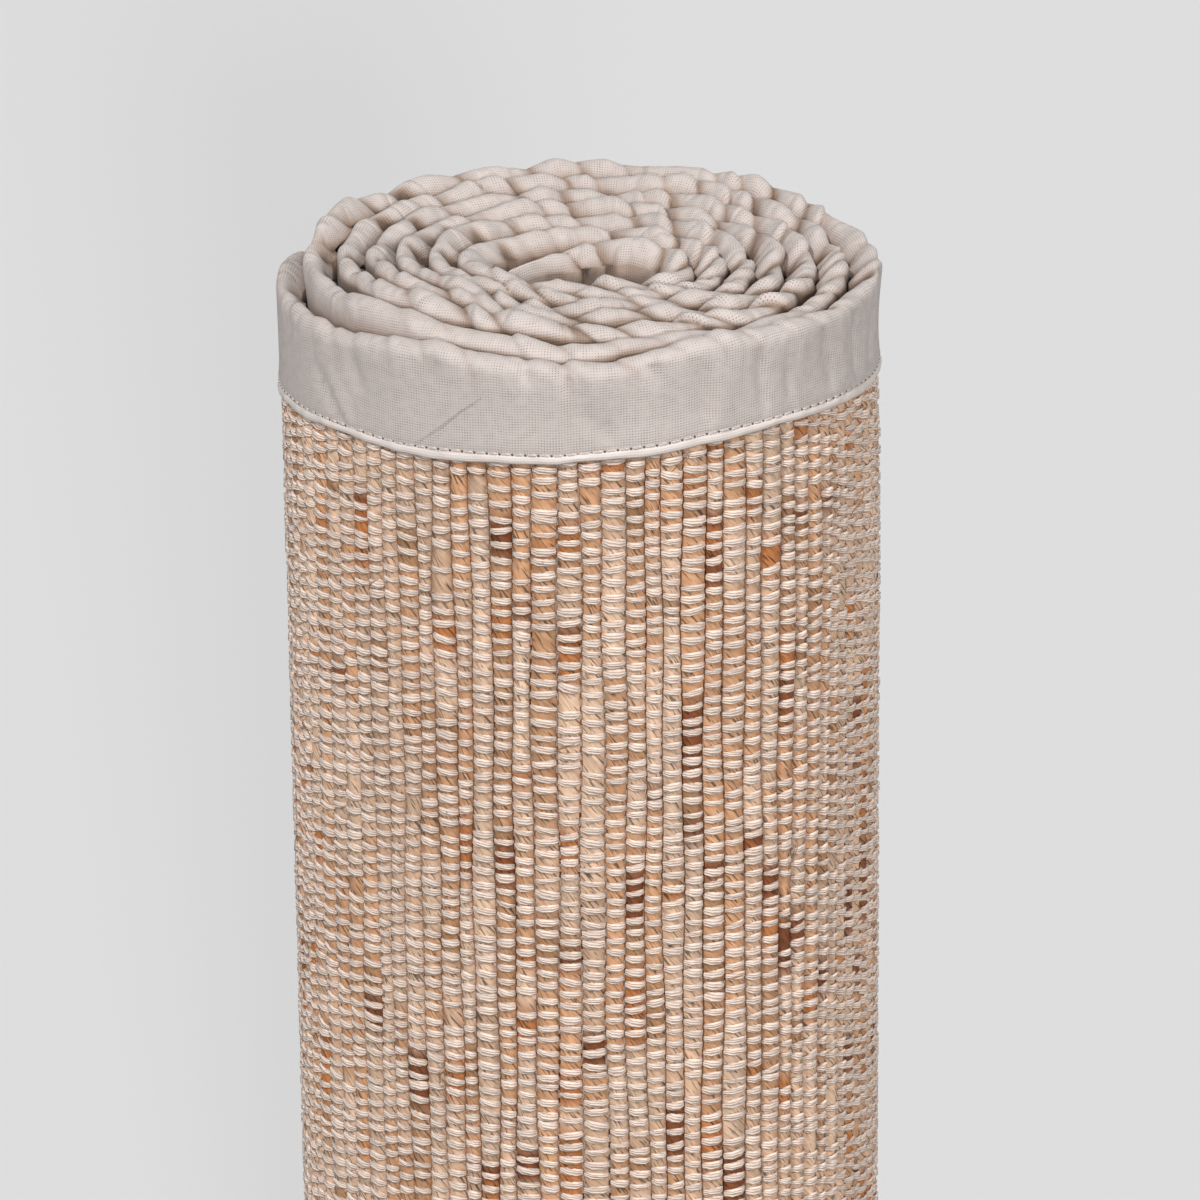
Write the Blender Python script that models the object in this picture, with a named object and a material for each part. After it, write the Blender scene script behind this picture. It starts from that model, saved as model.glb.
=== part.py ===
"""Rolled banana fibre mat, standing on its end.

A long woven mat is rolled up across its cords and stands on one bound edge. Its cloth is one
sheet of upright banana fibre cords held by cotton threads. A folded cotton strip binds each
edge: the two long edges, which are the round top and foot of the roll, and the two short ends.
The origin is on the surface under the middle of the roll, and +Z runs up the roll.
"""

import math

import bmesh
import bpy
from mathutils import Vector

# The mat and its roll, in metres
MAT_WIDTH = 0.610  # from edge to edge, so the height of the roll
ROLL_TURNS = 6.80  # regular turns, counted inwards from the outer end
OUTER_END_ANGLE = math.radians(160)  # where the outer end lies, anticlockwise from +X
OUTER_RADIUS = 0.0668  # of the cloth's middle line at the outer end
PITCH_ACROSS = 0.0069  # between turns along X
PITCH_DEEP = 0.0082  # and along Y, where the squashed core leaves them looser

# The loose inner end, which leaves the back of the core and crosses to its left side
FLAP_END = Vector((-0.0125, -0.0036))
FLAP_END_DIRECTION = Vector((-0.50, -0.87))
FLAP_PULL = 0.008  # how far the curve keeps each end's direction

# Places where the outer turn stands off the next: turn, half-length in turns, lift
SLACK = (
    (0.12, 0.14, 0.0009),
    (0.58, 0.10, 0.0009),
)

# Sides of the roll's outline: up to which turn, and how many there are to a turn
FACETS = (
    (1.0, 48),
    (2.0, 42),
    (3.0, 34),
    (4.0, 30),
    (5.0, 26),
    (6.0, 22),
    (9.0, 20),
)
FLAP_FACETS = 5

# Thicknesses of the pieces, in metres
FIELD_THICKNESS = 0.0040  # of the woven cloth at its mean level
SEAM_GAP = 0.0003
BINDING_CLOTH = 0.0008  # two layers of cotton
BINDING_OUTSIDE = FIELD_THICKNESS / 2 + SEAM_GAP + BINDING_CLOTH
BINDING_INSIDE = FIELD_THICKNESS / 2 + SEAM_GAP

# The puffed rim of the binding
RIM_SHOULDER = 0.0030  # below the crest, where the full width is reached
RIM_BEVEL_DROP = 0.0008
RIM_BEVEL_WIDTH = 0.0011
RIM_FILLING = 0.0024  # from the lowest pucker down to the cloth's pocket
PUCKER_HEIGHT = 0.0008
PUCKER_STEP = 2.35  # radians from one side of the outline to the next
FOOT_BEVEL = 0.0010

# The roll's top isn't quite level. It lies this far down, and more or less round the roll
RIM_DROP = 0.0018
RIM_DROP_TO_RIGHT = -0.0008
RIM_DROP_TO_BACK = -0.0008
RIM_DROP_AT_SIDES = 0.0010

# How far the binding's hem lies from its rim, and how that changes round the roll
HEM_DEPTH = 0.0220
HEM_TO_RIGHT = -0.0022
HEM_TO_BACK = 0.0020
HEM_AT_SIDES = 0.0015

# The strips on the two short ends
END_HEM_DEPTH = 0.024
END_WALL = 0.0012
END_BEVEL = 0.0009
END_CLEARANCE = 0.0006  # from the strips along the long edges

WOVEN_COLOUR = (0.53, 0.36, 0.25, 1.0)
COTTON_COLOUR = (0.66, 0.58, 0.54, 1.0)


def clear_scene():
    for item in list(bpy.data.objects):
        bpy.data.objects.remove(item)


def cloth_material(name, colour, roughness):
    material = bpy.data.materials.new(name)
    material.use_nodes = True
    shader = material.node_tree.nodes["Principled BSDF"]
    shader.inputs["Base Color"].default_value = colour
    shader.inputs["Roughness"].default_value = roughness
    shader.inputs["Metallic"].default_value = 0.0
    return material


def slack_at(turn):
    lift = 0.0
    for middle, half_length, height in SLACK:
        along = abs(turn - middle) / half_length
        if along < 1:
            lift += height * math.cos(along * math.pi / 2) ** 2
    return lift


def spiral_point(turn):
    """The cloth's middle line in plan. The core is squashed, so it is an oval spiral."""
    across = OUTER_RADIUS - PITCH_ACROSS * turn + slack_at(turn)
    deep = OUTER_RADIUS - PITCH_DEEP * turn + slack_at(turn)
    angle = OUTER_END_ANGLE + turn * math.tau
    return Vector((across * math.cos(angle), deep * math.sin(angle)))


def flap_points():
    """The inner end as a Bezier curve that starts along the last turn."""
    start = spiral_point(ROLL_TURNS)
    heading = (start - spiral_point(ROLL_TURNS - 0.01)).normalized()
    pulled_start = start + heading * FLAP_PULL
    pulled_end = FLAP_END - FLAP_END_DIRECTION.normalized() * FLAP_PULL
    points = []
    for step in range(1, FLAP_FACETS + 1):
        t = step / FLAP_FACETS
        points.append(
            start * (1 - t) ** 3
            + pulled_start * (3 * t * (1 - t) ** 2)
            + pulled_end * (3 * t * t * (1 - t))
            + FLAP_END * t ** 3
        )
    return points


def middle_line():
    """Every corner of the roll's middle line, moved so that the roll is centred on the origin."""
    turn = 0.0
    points = []
    while turn < ROLL_TURNS:
        points.append(spiral_point(turn))
        sides = next(count for last_turn, count in FACETS if turn < last_turn)
        turn += 1 / sides
    points.append(spiral_point(ROLL_TURNS))
    points += flap_points()
    middle = Vector(
        [(max(p[axis] for p in points) + min(p[axis] for p in points)) / 2 for axis in (0, 1)]
    )
    return [point - middle for point in points]


class Station:
    """A place along the mat: its point in plan, and the way out of the roll there."""

    def __init__(self, index, distance, point, out):
        self.index = index
        self.distance = distance
        self.point = point
        self.out = out
        self.angle = math.atan2(point.y, point.x)

    def at(self, offset, height):
        return Vector((*(self.point + self.out * offset), height))


def stations_along(points):
    stations = []
    distance = 0.0
    for index, point in enumerate(points):
        before = points[max(index - 1, 0)]
        after = points[min(index + 1, len(points) - 1)]
        heading = (after - before).normalized()
        if index:
            distance += (point - before).length
        stations.append(Station(index, distance, point, Vector((heading.y, -heading.x))))
    return stations


def station_at(stations, distance):
    """A station put in at a stated distance along the mat."""
    for first, second in zip(stations, stations[1:]):
        if second.distance >= distance:
            break
    share = (distance - first.distance) / (second.distance - first.distance)
    point = first.point.lerp(second.point, share)
    out = first.out.lerp(second.out, share).normalized()
    return Station(first.index, distance, point, out)


def between(stations, start, end):
    """The stations from start to end, with one exactly at each, and none close beside it."""
    clear = END_WALL
    inner = [
        station for station in stations if start + clear < station.distance < end - clear
    ]
    return [station_at(stations, start), *inner, station_at(stations, end)]


def hem_depth(station):
    return (
        HEM_DEPTH
        + HEM_TO_RIGHT * math.cos(station.angle)
        + HEM_TO_BACK * math.sin(station.angle)
        + HEM_AT_SIDES * math.cos(2 * station.angle)
    )


def rim_level(station):
    """The height of the rim without its puckers: a slightly saddle-shaped surface."""
    across, deep = station.point / OUTER_RADIUS
    drop = (
        RIM_DROP
        + RIM_DROP_TO_RIGHT * across
        + RIM_DROP_TO_BACK * deep
        + RIM_DROP_AT_SIDES * (across * across - deep * deep)
    )
    return MAT_WIDTH - max(drop, 0)


def rim_height(station):
    pucker = PUCKER_HEIGHT * (0.5 - 0.5 * math.sin(station.index * PUCKER_STEP))
    return rim_level(station) - pucker


def cloth_top(station):
    return rim_level(station) - PUCKER_HEIGHT - RIM_FILLING


def cloth_foot():
    return FOOT_BEVEL + BINDING_CLOTH + SEAM_GAP


def top_outline(station):
    """The rim binding's outer outline, from the outer hem over the crest to the inner hem."""
    crest = rim_height(station)
    hem = crest - hem_depth(station)
    bevel = BINDING_OUTSIDE - RIM_BEVEL_WIDTH
    return [
        station.at(BINDING_OUTSIDE, hem),
        station.at(BINDING_OUTSIDE, crest - RIM_SHOULDER),
        station.at(bevel, crest - RIM_BEVEL_DROP),
        station.at(0, crest),
        station.at(-bevel, crest - RIM_BEVEL_DROP),
        station.at(-BINDING_OUTSIDE, crest - RIM_SHOULDER),
        station.at(-BINDING_OUTSIDE, hem),
    ]


def top_pocket(station):
    """The pocket in the rim binding that the cloth's edge sits in."""
    hem = rim_height(station) - hem_depth(station)
    roof = cloth_top(station) + SEAM_GAP
    return [
        station.at(-BINDING_INSIDE, hem),
        station.at(-BINDING_INSIDE, roof),
        station.at(BINDING_INSIDE, roof),
        station.at(BINDING_INSIDE, hem),
    ]


def foot_outline(station):
    hem = hem_depth(station)
    return [
        station.at(-BINDING_OUTSIDE, hem),
        station.at(-BINDING_OUTSIDE, FOOT_BEVEL),
        station.at(-BINDING_OUTSIDE + FOOT_BEVEL, 0),
        station.at(BINDING_OUTSIDE - FOOT_BEVEL, 0),
        station.at(BINDING_OUTSIDE, FOOT_BEVEL),
        station.at(BINDING_OUTSIDE, hem),
    ]


def foot_pocket(station):
    hem = hem_depth(station)
    floor = cloth_foot() - SEAM_GAP
    return [
        station.at(BINDING_INSIDE, hem),
        station.at(BINDING_INSIDE, floor),
        station.at(-BINDING_INSIDE, floor),
        station.at(-BINDING_INSIDE, hem),
    ]


def new_object(name, mesh_builder, material):
    bmesh.ops.recalc_face_normals(mesh_builder, faces=mesh_builder.faces)
    mesh = bpy.data.meshes.new(name)
    mesh_builder.to_mesh(mesh)
    mesh_builder.free()
    mesh.materials.append(material)
    mesh.shade_smooth()
    mesh.set_sharp_from_angle(angle=math.radians(50))
    item = bpy.data.objects.new(name, mesh)
    bpy.context.collection.objects.link(item)
    return item


def add_ring(mesh_builder, corners):
    return [mesh_builder.verts.new(corner) for corner in corners]


def join_rings(mesh_builder, first, second, closed):
    count = len(first)
    for side in range(count if closed else count - 1):
        after = (side + 1) % count
        mesh_builder.faces.new((first[side], first[after], second[after], second[side]))


def make_field(stations, material):
    """The woven cloth: one long sheet on edge, which follows the whole spiral."""
    mesh_builder = bmesh.new()
    inset = END_WALL + SEAM_GAP
    half = FIELD_THICKNESS / 2
    rings = []
    for station in between(stations, inset, stations[-1].distance - inset):
        corners = (
            station.at(half, cloth_foot()),
            station.at(half, cloth_top(station)),
            station.at(-half, cloth_top(station)),
            station.at(-half, cloth_foot()),
        )
        rings.append(add_ring(mesh_builder, corners))
    for first, second in zip(rings, rings[1:]):
        join_rings(mesh_builder, first, second, closed=True)
    mesh_builder.faces.new(rings[0])
    mesh_builder.faces.new(rings[-1])
    return new_object("mat_field", mesh_builder, material)


def make_edge_binding(name, stations, outline, pocket, material):
    """A folded strip along a whole long edge. Its pocket stops short of both closed ends."""
    mesh_builder = bmesh.new()
    length = stations[-1].distance
    inside = between(stations, END_WALL, length - END_WALL)
    outer_rings = [add_ring(mesh_builder, outline(station)) for station in inside]
    pocket_rings = [add_ring(mesh_builder, pocket(station)) for station in inside]
    first_end = add_ring(mesh_builder, outline(station_at(stations, 0)))
    last_end = add_ring(mesh_builder, outline(station_at(stations, length)))
    for first, second in zip(outer_rings, outer_rings[1:]):
        join_rings(mesh_builder, first, second, closed=False)
    for first, second in zip(pocket_rings, pocket_rings[1:]):
        join_rings(mesh_builder, first, second, closed=False)
    for outer, inner, next_outer, next_inner in zip(
        outer_rings, pocket_rings, outer_rings[1:], pocket_rings[1:]
    ):
        mesh_builder.faces.new((outer[-1], inner[0], next_inner[0], next_outer[-1]))
        mesh_builder.faces.new((inner[-1], outer[0], next_outer[0], next_inner[-1]))
    for end, outer, inner in (
        (first_end, outer_rings[0], pocket_rings[0]),
        (last_end, outer_rings[-1], pocket_rings[-1]),
    ):
        join_rings(mesh_builder, end, outer, closed=False)
        mesh_builder.faces.new(end)
        mesh_builder.faces.new(inner)
        mesh_builder.faces.new((end[0], outer[0], inner[-1], inner[0], outer[-1], end[-1]))
    return new_object(name, mesh_builder, material)


def make_end_binding(name, stations, end, inward, material):
    """A folded strip up a short end. Inward is +1 or -1, the way from the end into the mat."""
    nose = station_at(stations, end)
    shoulder = station_at(stations, end + inward * END_BEVEL)
    pocket_end = end + inward * END_WALL
    hem = end + inward * END_HEM_DEPTH
    walls = between(stations, min(pocket_end, hem), max(pocket_end, hem))
    hem_to_nose = walls[::-inward]
    nose_to_hem = walls[::inward]
    bevel = BINDING_OUTSIDE - END_BEVEL
    plan = [(station, BINDING_OUTSIDE) for station in hem_to_nose]
    plan += [(shoulder, BINDING_OUTSIDE), (nose, bevel), (nose, -bevel)]
    plan += [(shoulder, -BINDING_OUTSIDE)]
    plan += [(station, -BINDING_OUTSIDE) for station in nose_to_hem]
    plan += [(station, -BINDING_INSIDE) for station in hem_to_nose]
    plan += [(station, BINDING_INSIDE) for station in nose_to_hem]
    foot = max(hem_depth(station) for station in walls) + END_CLEARANCE
    top = min(rim_height(station) - hem_depth(station) for station in walls) - END_CLEARANCE
    mesh_builder = bmesh.new()
    lower = add_ring(mesh_builder, [station.at(offset, foot) for station, offset in plan])
    upper = add_ring(mesh_builder, [station.at(offset, top) for station, offset in plan])
    join_rings(mesh_builder, lower, upper, closed=True)
    mesh_builder.faces.new(lower)
    mesh_builder.faces.new(upper)
    return new_object(name, mesh_builder, material)


def main():
    clear_scene()
    woven = cloth_material("woven_banana_fibre", WOVEN_COLOUR, 0.8)
    cotton = cloth_material("cotton_binding", COTTON_COLOUR, 0.9)
    stations = stations_along(middle_line())
    length = stations[-1].distance
    make_field(stations, woven)
    make_edge_binding("binding_top", stations, top_outline, top_pocket, cotton)
    make_edge_binding("binding_foot", stations, foot_outline, foot_pocket, cotton)
    make_end_binding("binding_outer_end", stations, 0, 1, cotton)
    make_end_binding("binding_inner_end", stations, length, -1, cotton)


main()
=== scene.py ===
"""The looks of a rolled banana fibre mat, standing on its end."""

import math

import bpy
import numpy as np
from mathutils import Matrix, Vector


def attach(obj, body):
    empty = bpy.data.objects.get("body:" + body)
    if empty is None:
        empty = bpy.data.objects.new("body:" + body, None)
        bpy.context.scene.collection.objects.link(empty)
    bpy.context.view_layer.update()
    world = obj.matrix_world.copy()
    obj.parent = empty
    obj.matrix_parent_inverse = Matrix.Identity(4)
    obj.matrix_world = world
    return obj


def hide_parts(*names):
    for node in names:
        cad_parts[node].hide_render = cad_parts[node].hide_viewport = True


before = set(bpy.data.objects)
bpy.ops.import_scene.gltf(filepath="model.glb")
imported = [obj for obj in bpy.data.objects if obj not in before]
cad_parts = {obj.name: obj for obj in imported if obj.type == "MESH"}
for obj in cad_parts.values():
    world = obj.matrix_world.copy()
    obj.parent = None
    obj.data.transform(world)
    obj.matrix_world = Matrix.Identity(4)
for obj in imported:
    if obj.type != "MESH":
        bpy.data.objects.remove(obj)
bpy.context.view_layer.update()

MM = 0.001


# The roll. The mat is wound up like a carpet, 6.8 turns and a loose inner end, and the core is
# squashed, so that seen from above its middle line is an oval spiral. Every piece of cloth and
# every thread below is placed by its distance along the mat and its offset out of the roll.

MAT_WIDTH = 610 * MM
ROLL_TURNS = 6.80
OUTER_END_ANGLE = math.radians(160)
OUTER_RADIUS = 66.8 * MM
PITCH_ACROSS = 6.9 * MM
PITCH_DEEP = 8.2 * MM
OUTER_SLACK = ((0.12, 0.14, 0.9 * MM), (0.58, 0.10, 0.9 * MM))  # turn, half-length, lift
FLAP_CORNER = np.array((-4.2, 10.6)) * MM
FLAP_END = np.array((-19.3, -3.4)) * MM
FLAP_BEND = 3.5 * MM
FLAP_TURN = 0.2  # how far the flap counts on past the last full turn
PATH_STEP = 0.5 * MM
SPIRAL_SAMPLES = 6000
FLAP_SAMPLES = 80
BELLY = 1.2 * MM  # the outermost turn's bulge at the right, below its binding
BELLY_HALF_ANGLE = 55  # degrees to both sides
BELLY_DOWN = ((8 * MM, 45 * MM, 420 * MM, 560 * MM), (0, 1, 1, 0))  # below the top, share


def slack_at(turn):
    lift = np.zeros_like(turn)
    for middle, half_length, height in OUTER_SLACK:
        along = np.clip(np.abs(turn - middle) / half_length, 0, 1)
        lift += height * np.cos(along * math.pi / 2) ** 2
    return lift


def spiral_point(turn):
    across = OUTER_RADIUS - PITCH_ACROSS * turn + slack_at(turn)
    deep = OUTER_RADIUS - PITCH_DEEP * turn + slack_at(turn)
    angle = OUTER_END_ANGLE + turn * math.tau
    return np.stack((across * np.cos(angle), deep * np.sin(angle)), axis=-1)


def flap_points(count):
    """The loose inner end: on along the core's back wall to a sharp bend, then straight across
    to its left wall."""
    start = spiral_point(np.array((ROLL_TURNS,)))[0]
    along = (FLAP_CORNER - start) / np.linalg.norm(FLAP_CORNER - start)
    away = (FLAP_END - FLAP_CORNER) / np.linalg.norm(FLAP_END - FLAP_CORNER)
    bend_start, bend_end = FLAP_CORNER - along * FLAP_BEND, FLAP_CORNER + away * FLAP_BEND
    t = np.linspace(0, 1, count)[:, None]
    bend = bend_start * (1 - t) ** 2 + FLAP_CORNER * 2 * t * (1 - t) + bend_end * t ** 2
    return np.vstack((start + (bend_start - start) * t[1:], bend[1:],
                      bend_end + (FLAP_END - bend_end) * t[1:]))


flap_path = flap_points(FLAP_SAMPLES)
spiral_turns = np.linspace(0, ROLL_TURNS, SPIRAL_SAMPLES)
rough_path = np.vstack((spiral_point(spiral_turns), flap_path))
rough_path -= (rough_path.max(axis=0) + rough_path.min(axis=0)) / 2
rough_distance = np.concatenate(
    ((0,), np.cumsum(np.linalg.norm(np.diff(rough_path, axis=0), axis=1)))
)
MAT_LENGTH = rough_distance[-1]
path_distance = np.linspace(0, MAT_LENGTH, int(MAT_LENGTH / PATH_STEP))
path_point = np.stack(
    [np.interp(path_distance, rough_distance, rough_path[:, axis]) for axis in (0, 1)], axis=1
)
path_heading = np.gradient(path_point, axis=0)
path_heading /= np.linalg.norm(path_heading, axis=1)[:, None]
flap_turns = ROLL_TURNS + np.linspace(0, FLAP_TURN, len(flap_path) + 1)[1:]
turn_at_rough = np.concatenate((spiral_turns, flap_turns))


def along_path(values, distance):
    return np.interp(distance, path_distance, values)


def plan_point(distance):
    return along_path(path_point[:, 0], distance), along_path(path_point[:, 1], distance)


def plan_heading(distance):
    return along_path(path_heading[:, 0], distance), along_path(path_heading[:, 1], distance)


def belly_at(distance, height):
    """How far the outermost turn bulges at the right, below its binding."""
    outermost = np.clip((0.97 - turn_of(distance)) / 0.1, 0, 1)
    share = np.interp(MAT_WIDTH - height, *BELLY_DOWN)
    across = np.exp(-((np.degrees(angle_at(distance)) / BELLY_HALF_ANGLE) ** 2))
    return BELLY * outermost * across * share


def in_roll(distance, offset, height):
    """Points in space for places on the mat: offset is out of the roll, height is up it."""
    x, y = plan_point(distance)
    heading_x, heading_y = plan_heading(distance)
    out = offset + belly_at(distance, height)
    x, y, height = np.broadcast_arrays(x + heading_y * out, y - heading_x * out, height)
    return np.stack((x, y, height), axis=-1)


def turn_of(distance):
    return np.interp(distance, rough_distance, turn_at_rough)


def distance_at(turn):
    return np.interp(turn, turn_at_rough, rough_distance)


def angle_at(distance):
    x, y = plan_point(distance)
    return np.arctan2(y, x)


def outermost_at(distance):
    """1 on the outermost turn, and down to 0 where the next turn begins."""
    return np.clip((1.02 - turn_of(distance)) / 0.12, 0, 1)


def waves(place, lengths, heights, seed):
    """Smooth unevenness: a few sine waves of stated lengths, with seeded phases."""
    phases = np.random.default_rng(seed).uniform(0, math.tau, len(lengths))
    total = np.zeros_like(place, dtype=float)
    for length, height, phase in zip(lengths, heights, phases):
        total += height * np.sin(place / length * math.tau + phase)
    return total


def grid_corners(index):
    """The four corners of each face of a grid, one row a face."""
    return np.stack(
        (index[:-1, :-1], index[:-1, 1:], index[1:, 1:], index[1:, :-1]), axis=-1
    ).reshape(-1, 4)


def mesh_of(name, points, faces, uvs):
    """A smooth mesh. Its UV map has one entry for each corner of each face, in order."""
    mesh = bpy.data.meshes.new(name)
    mesh.from_pydata(points, [], faces)
    layer = mesh.uv_layers.new(name="UVMap")
    layer.uv.foreach_set("vector", np.array(uvs, dtype=np.float32).ravel())
    mesh.shade_smooth()
    mesh.update()
    return mesh


def tube_sides(rings_at, sides):
    """The faces and UVs between rings of points. Rings_at gives each ring's U."""
    faces, uvs = [], []
    for ring, (low, high) in enumerate(zip(rings_at, rings_at[1:])):
        first, second = ring * sides, (ring + 1) * sides
        for side in range(sides):
            after = (side + 1) % sides
            faces.append((first + side, first + after, second + after, second + side))
            near, far = side / sides, (side + 1) / sides
            uvs += [(low, near), (low, far), (high, far), (high, near)]
    return faces, uvs


def grid_mesh(name, points, uv, closed_round=False):
    """A smooth mesh over a grid of points. Closed_round joins its last column to its first, and
    closes its two ends."""
    rows, columns = points.shape[:2]
    index = np.arange(rows * columns).reshape(rows, columns)
    uv_index = np.arange(rows * uv.shape[1]).reshape(rows, -1)
    faces = grid_corners(np.hstack((index, index[:, :1])) if closed_round else index).tolist()
    loops = grid_corners(uv_index).ravel().tolist()
    if closed_round:
        faces += [index[0, ::-1].tolist(), index[-1].tolist()]
        loops += uv_index[0, columns - 1::-1].tolist() + uv_index[-1, :columns].tolist()
    return mesh_of(name, points.reshape(-1, 3).tolist(), faces, uv.reshape(-1, 2)[loops])


def place_mesh(name, mesh, material):
    item = bpy.data.objects.new(name, mesh)
    bpy.context.collection.objects.link(item)
    mesh.materials.clear()
    mesh.materials.append(material)
    return item


def linear(hex_colour):
    """An sRGB hex value as linear red, green and blue."""
    values = [int(hex_colour[at:at + 2], 16) / 255 for at in (1, 3, 5)]
    return [v / 12.92 if v <= 0.04045 else ((v + 0.055) / 1.055) ** 2.4 for v in values]


def colour(hex_colour):
    return (*linear(hex_colour), 1.0)


def add_node(tree, kind, settings=(), **links):
    """Adds a node. A setting is an attribute, or a socket's value where a socket has the name.
    A link's underscores stand for the spaces in its socket's name."""
    node = tree.nodes.new(kind)
    for name, value in dict(settings).items():
        if isinstance(name, int) or name in node.inputs:
            node.inputs[name].default_value = value
        else:
            setattr(node, name, value)
    for name, source in links.items():
        socket = node.inputs[int(name[1:])] if name[0] == "i" and name[1:].isdigit() else (
            node.inputs[name.replace("_", " ")]
        )
        tree.links.new(source, socket)
    return node


def feed(tree, socket, value):
    """Gives a socket a number, a hex colour or another node's output."""
    if isinstance(value, bpy.types.NodeSocket):
        tree.links.new(value, socket)
    else:
        socket.default_value = colour(value) if isinstance(value, str) else value


def maths(tree, operation, *values):
    node = add_node(tree, "ShaderNodeMath", {"operation": operation})
    for socket, value in zip(node.inputs, values):
        feed(tree, socket, value)
    return node.outputs[0]


def scaled(tree, vector, factor):
    node = add_node(tree, "ShaderNodeVectorMath", {"operation": "SCALE"}, i0=vector)
    feed(tree, node.inputs["Scale"], factor)
    return node.outputs[0]


def spread(tree, value, low, high, to_low, to_high):
    """A value from low to high, laid out between two others."""
    settings = {1: low, 2: high, 3: to_low, 4: to_high}
    return add_node(tree, "ShaderNodeMapRange", settings, Value=value).outputs[0]


def blend(tree, share, first, second, kind="MIX"):
    """Two colours mixed: the first at share 0, the second at share 1."""
    node = add_node(tree, "ShaderNodeMix", {"data_type": "RGBA", "blend_type": kind})
    for at, value in ((0, share), (6, first), (7, second)):
        feed(tree, node.inputs[at], value)
    return node.outputs[2]


def noise(tree, place, scale, **settings):
    settings = {"Scale": scale, **settings}
    return add_node(tree, "ShaderNodeTexNoise", settings, Vector=place).outputs[0]


def bump(tree, height, strength, distance, **links):
    settings = {"Strength": strength, "Distance": distance}
    return add_node(tree, "ShaderNodeBump", settings, Height=height, **links).outputs["Normal"]


def uv_place(tree):
    return add_node(tree, "ShaderNodeUVMap", {"uv_map": "UVMap"}).outputs["UV"]


def split_up(tree, vector):
    """A vector's X and Y."""
    return add_node(tree, "ShaderNodeSeparateXYZ", Vector=vector).outputs[:2]


def attribute(tree, name):
    return add_node(tree, "ShaderNodeAttribute", {"attribute_name": name})


def new_material(name):
    material = bpy.data.materials.new(name)
    material.use_nodes = True
    return material, material.node_tree, material.node_tree.nodes["Principled BSDF"]


# The woven sheet. Hand-woven banana fibre and cotton, 4 mm thick. This sheet is the body of the
# cloth behind the cords: the ground that shows between them on the outer turn, and the whole
# cloth on the inner turns and in the core, where only its texture is seen.

SHEET_INSET = 1.5 * MM
SHEET_OUTER_FACE = 0.2 * MM
SHEET_INNER_FACE = -2.0 * MM
SHEET_STEP = 3 * MM
SHEET_FOOT = 3 * MM  # above the floor
SHEET_BELOW_RIM = 5 * MM
FLAP_PRESSED = 0.65  # of the sheet's thickness, lost in the loose end
PRESSED_LENGTH = 80 * MM
PRESSED_FADE = 12 * MM
CORD_PITCH = 4.6 * MM
THREAD_PITCH = 3.25 * MM  # between the crossings on one cord
FIBRE_TONES = ("#EBC7A9", "#E3BB9B", "#DAA67D", "#C67E48", "#8A4B22", "#B98A62")

RIM_DROP = 1.8 * MM
RIM_DROP_TO_RIGHT = -0.8 * MM
RIM_DROP_TO_BACK = -0.8 * MM
RIM_DROP_AT_SIDES = 1.0 * MM
HEM_DEPTH = 24.2 * MM
HEM_TO_RIGHT = -1.5 * MM
HEM_TO_BACK = 2.0 * MM
HEM_AT_SIDES = 1.5 * MM


def rim_level(distance):
    """The height of the binding's rim without its puckers, on a slightly saddle-shaped top."""
    x, y = plan_point(distance)
    across, deep = x / OUTER_RADIUS, y / OUTER_RADIUS
    drop = RIM_DROP + RIM_DROP_TO_RIGHT * across + RIM_DROP_TO_BACK * deep
    return MAT_WIDTH - np.maximum(drop + RIM_DROP_AT_SIDES * (across ** 2 - deep ** 2), 0)


# How much lower than an even line the outermost turn's hem lies: degrees round the roll, mm.
# A minus is higher.
HEM_WANDERS = (
    (-180, -1.0), (-165, -2.9), (-150, -2.9), (-140, -2.4), (-127, -0.5), (-106, 0.6),
    (-94, 1.2), (-84, 0.5), (-73, 0.0), (-66, -1.1), (-57, -1.6), (-45, -2.2), (-36, -2.0),
    (-24, -1.7), (-12, -0.6), (0, 0.0), (150, 0.0), (180, -1.0),
)


def hem_depth(distance):
    """How far the binding's hem lies from its rim."""
    angle = angle_at(distance)
    swing = HEM_TO_RIGHT * np.cos(angle) + HEM_TO_BACK * np.sin(angle)
    wander = np.interp(np.degrees(angle), *zip(*HEM_WANDERS)) * MM
    wander = wander * outermost_at(distance)
    return HEM_DEPTH + swing + HEM_AT_SIDES * np.cos(2 * angle) + wander


def woven_sheet_mesh():
    distance = np.arange(SHEET_INSET, MAT_LENGTH - SHEET_INSET, SHEET_STEP)
    foot = np.full_like(distance, SHEET_FOOT)
    top = rim_level(distance) - SHEET_BELOW_RIM
    middle = (foot + top) / 2
    in_flap = np.clip((distance - MAT_LENGTH + PRESSED_LENGTH) / PRESSED_FADE, 0, 1)
    pressed = 1 - FLAP_PRESSED * in_flap
    outer, inner = SHEET_OUTER_FACE * pressed, SHEET_INNER_FACE * pressed
    profile = (
        (outer, foot), (outer, middle), (outer, top), (inner, top), (inner, middle), (inner, foot),
    )
    points = np.stack(
        [in_roll(distance, offset, height) for offset, height in profile], axis=1
    )
    heights = np.stack([height for offset, height in profile] + [foot], axis=1)
    uv = np.stack((np.broadcast_to(distance[:, None], heights.shape), heights), axis=-1)
    return grid_mesh("woven_sheet", points, uv, closed_round=True)


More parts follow.
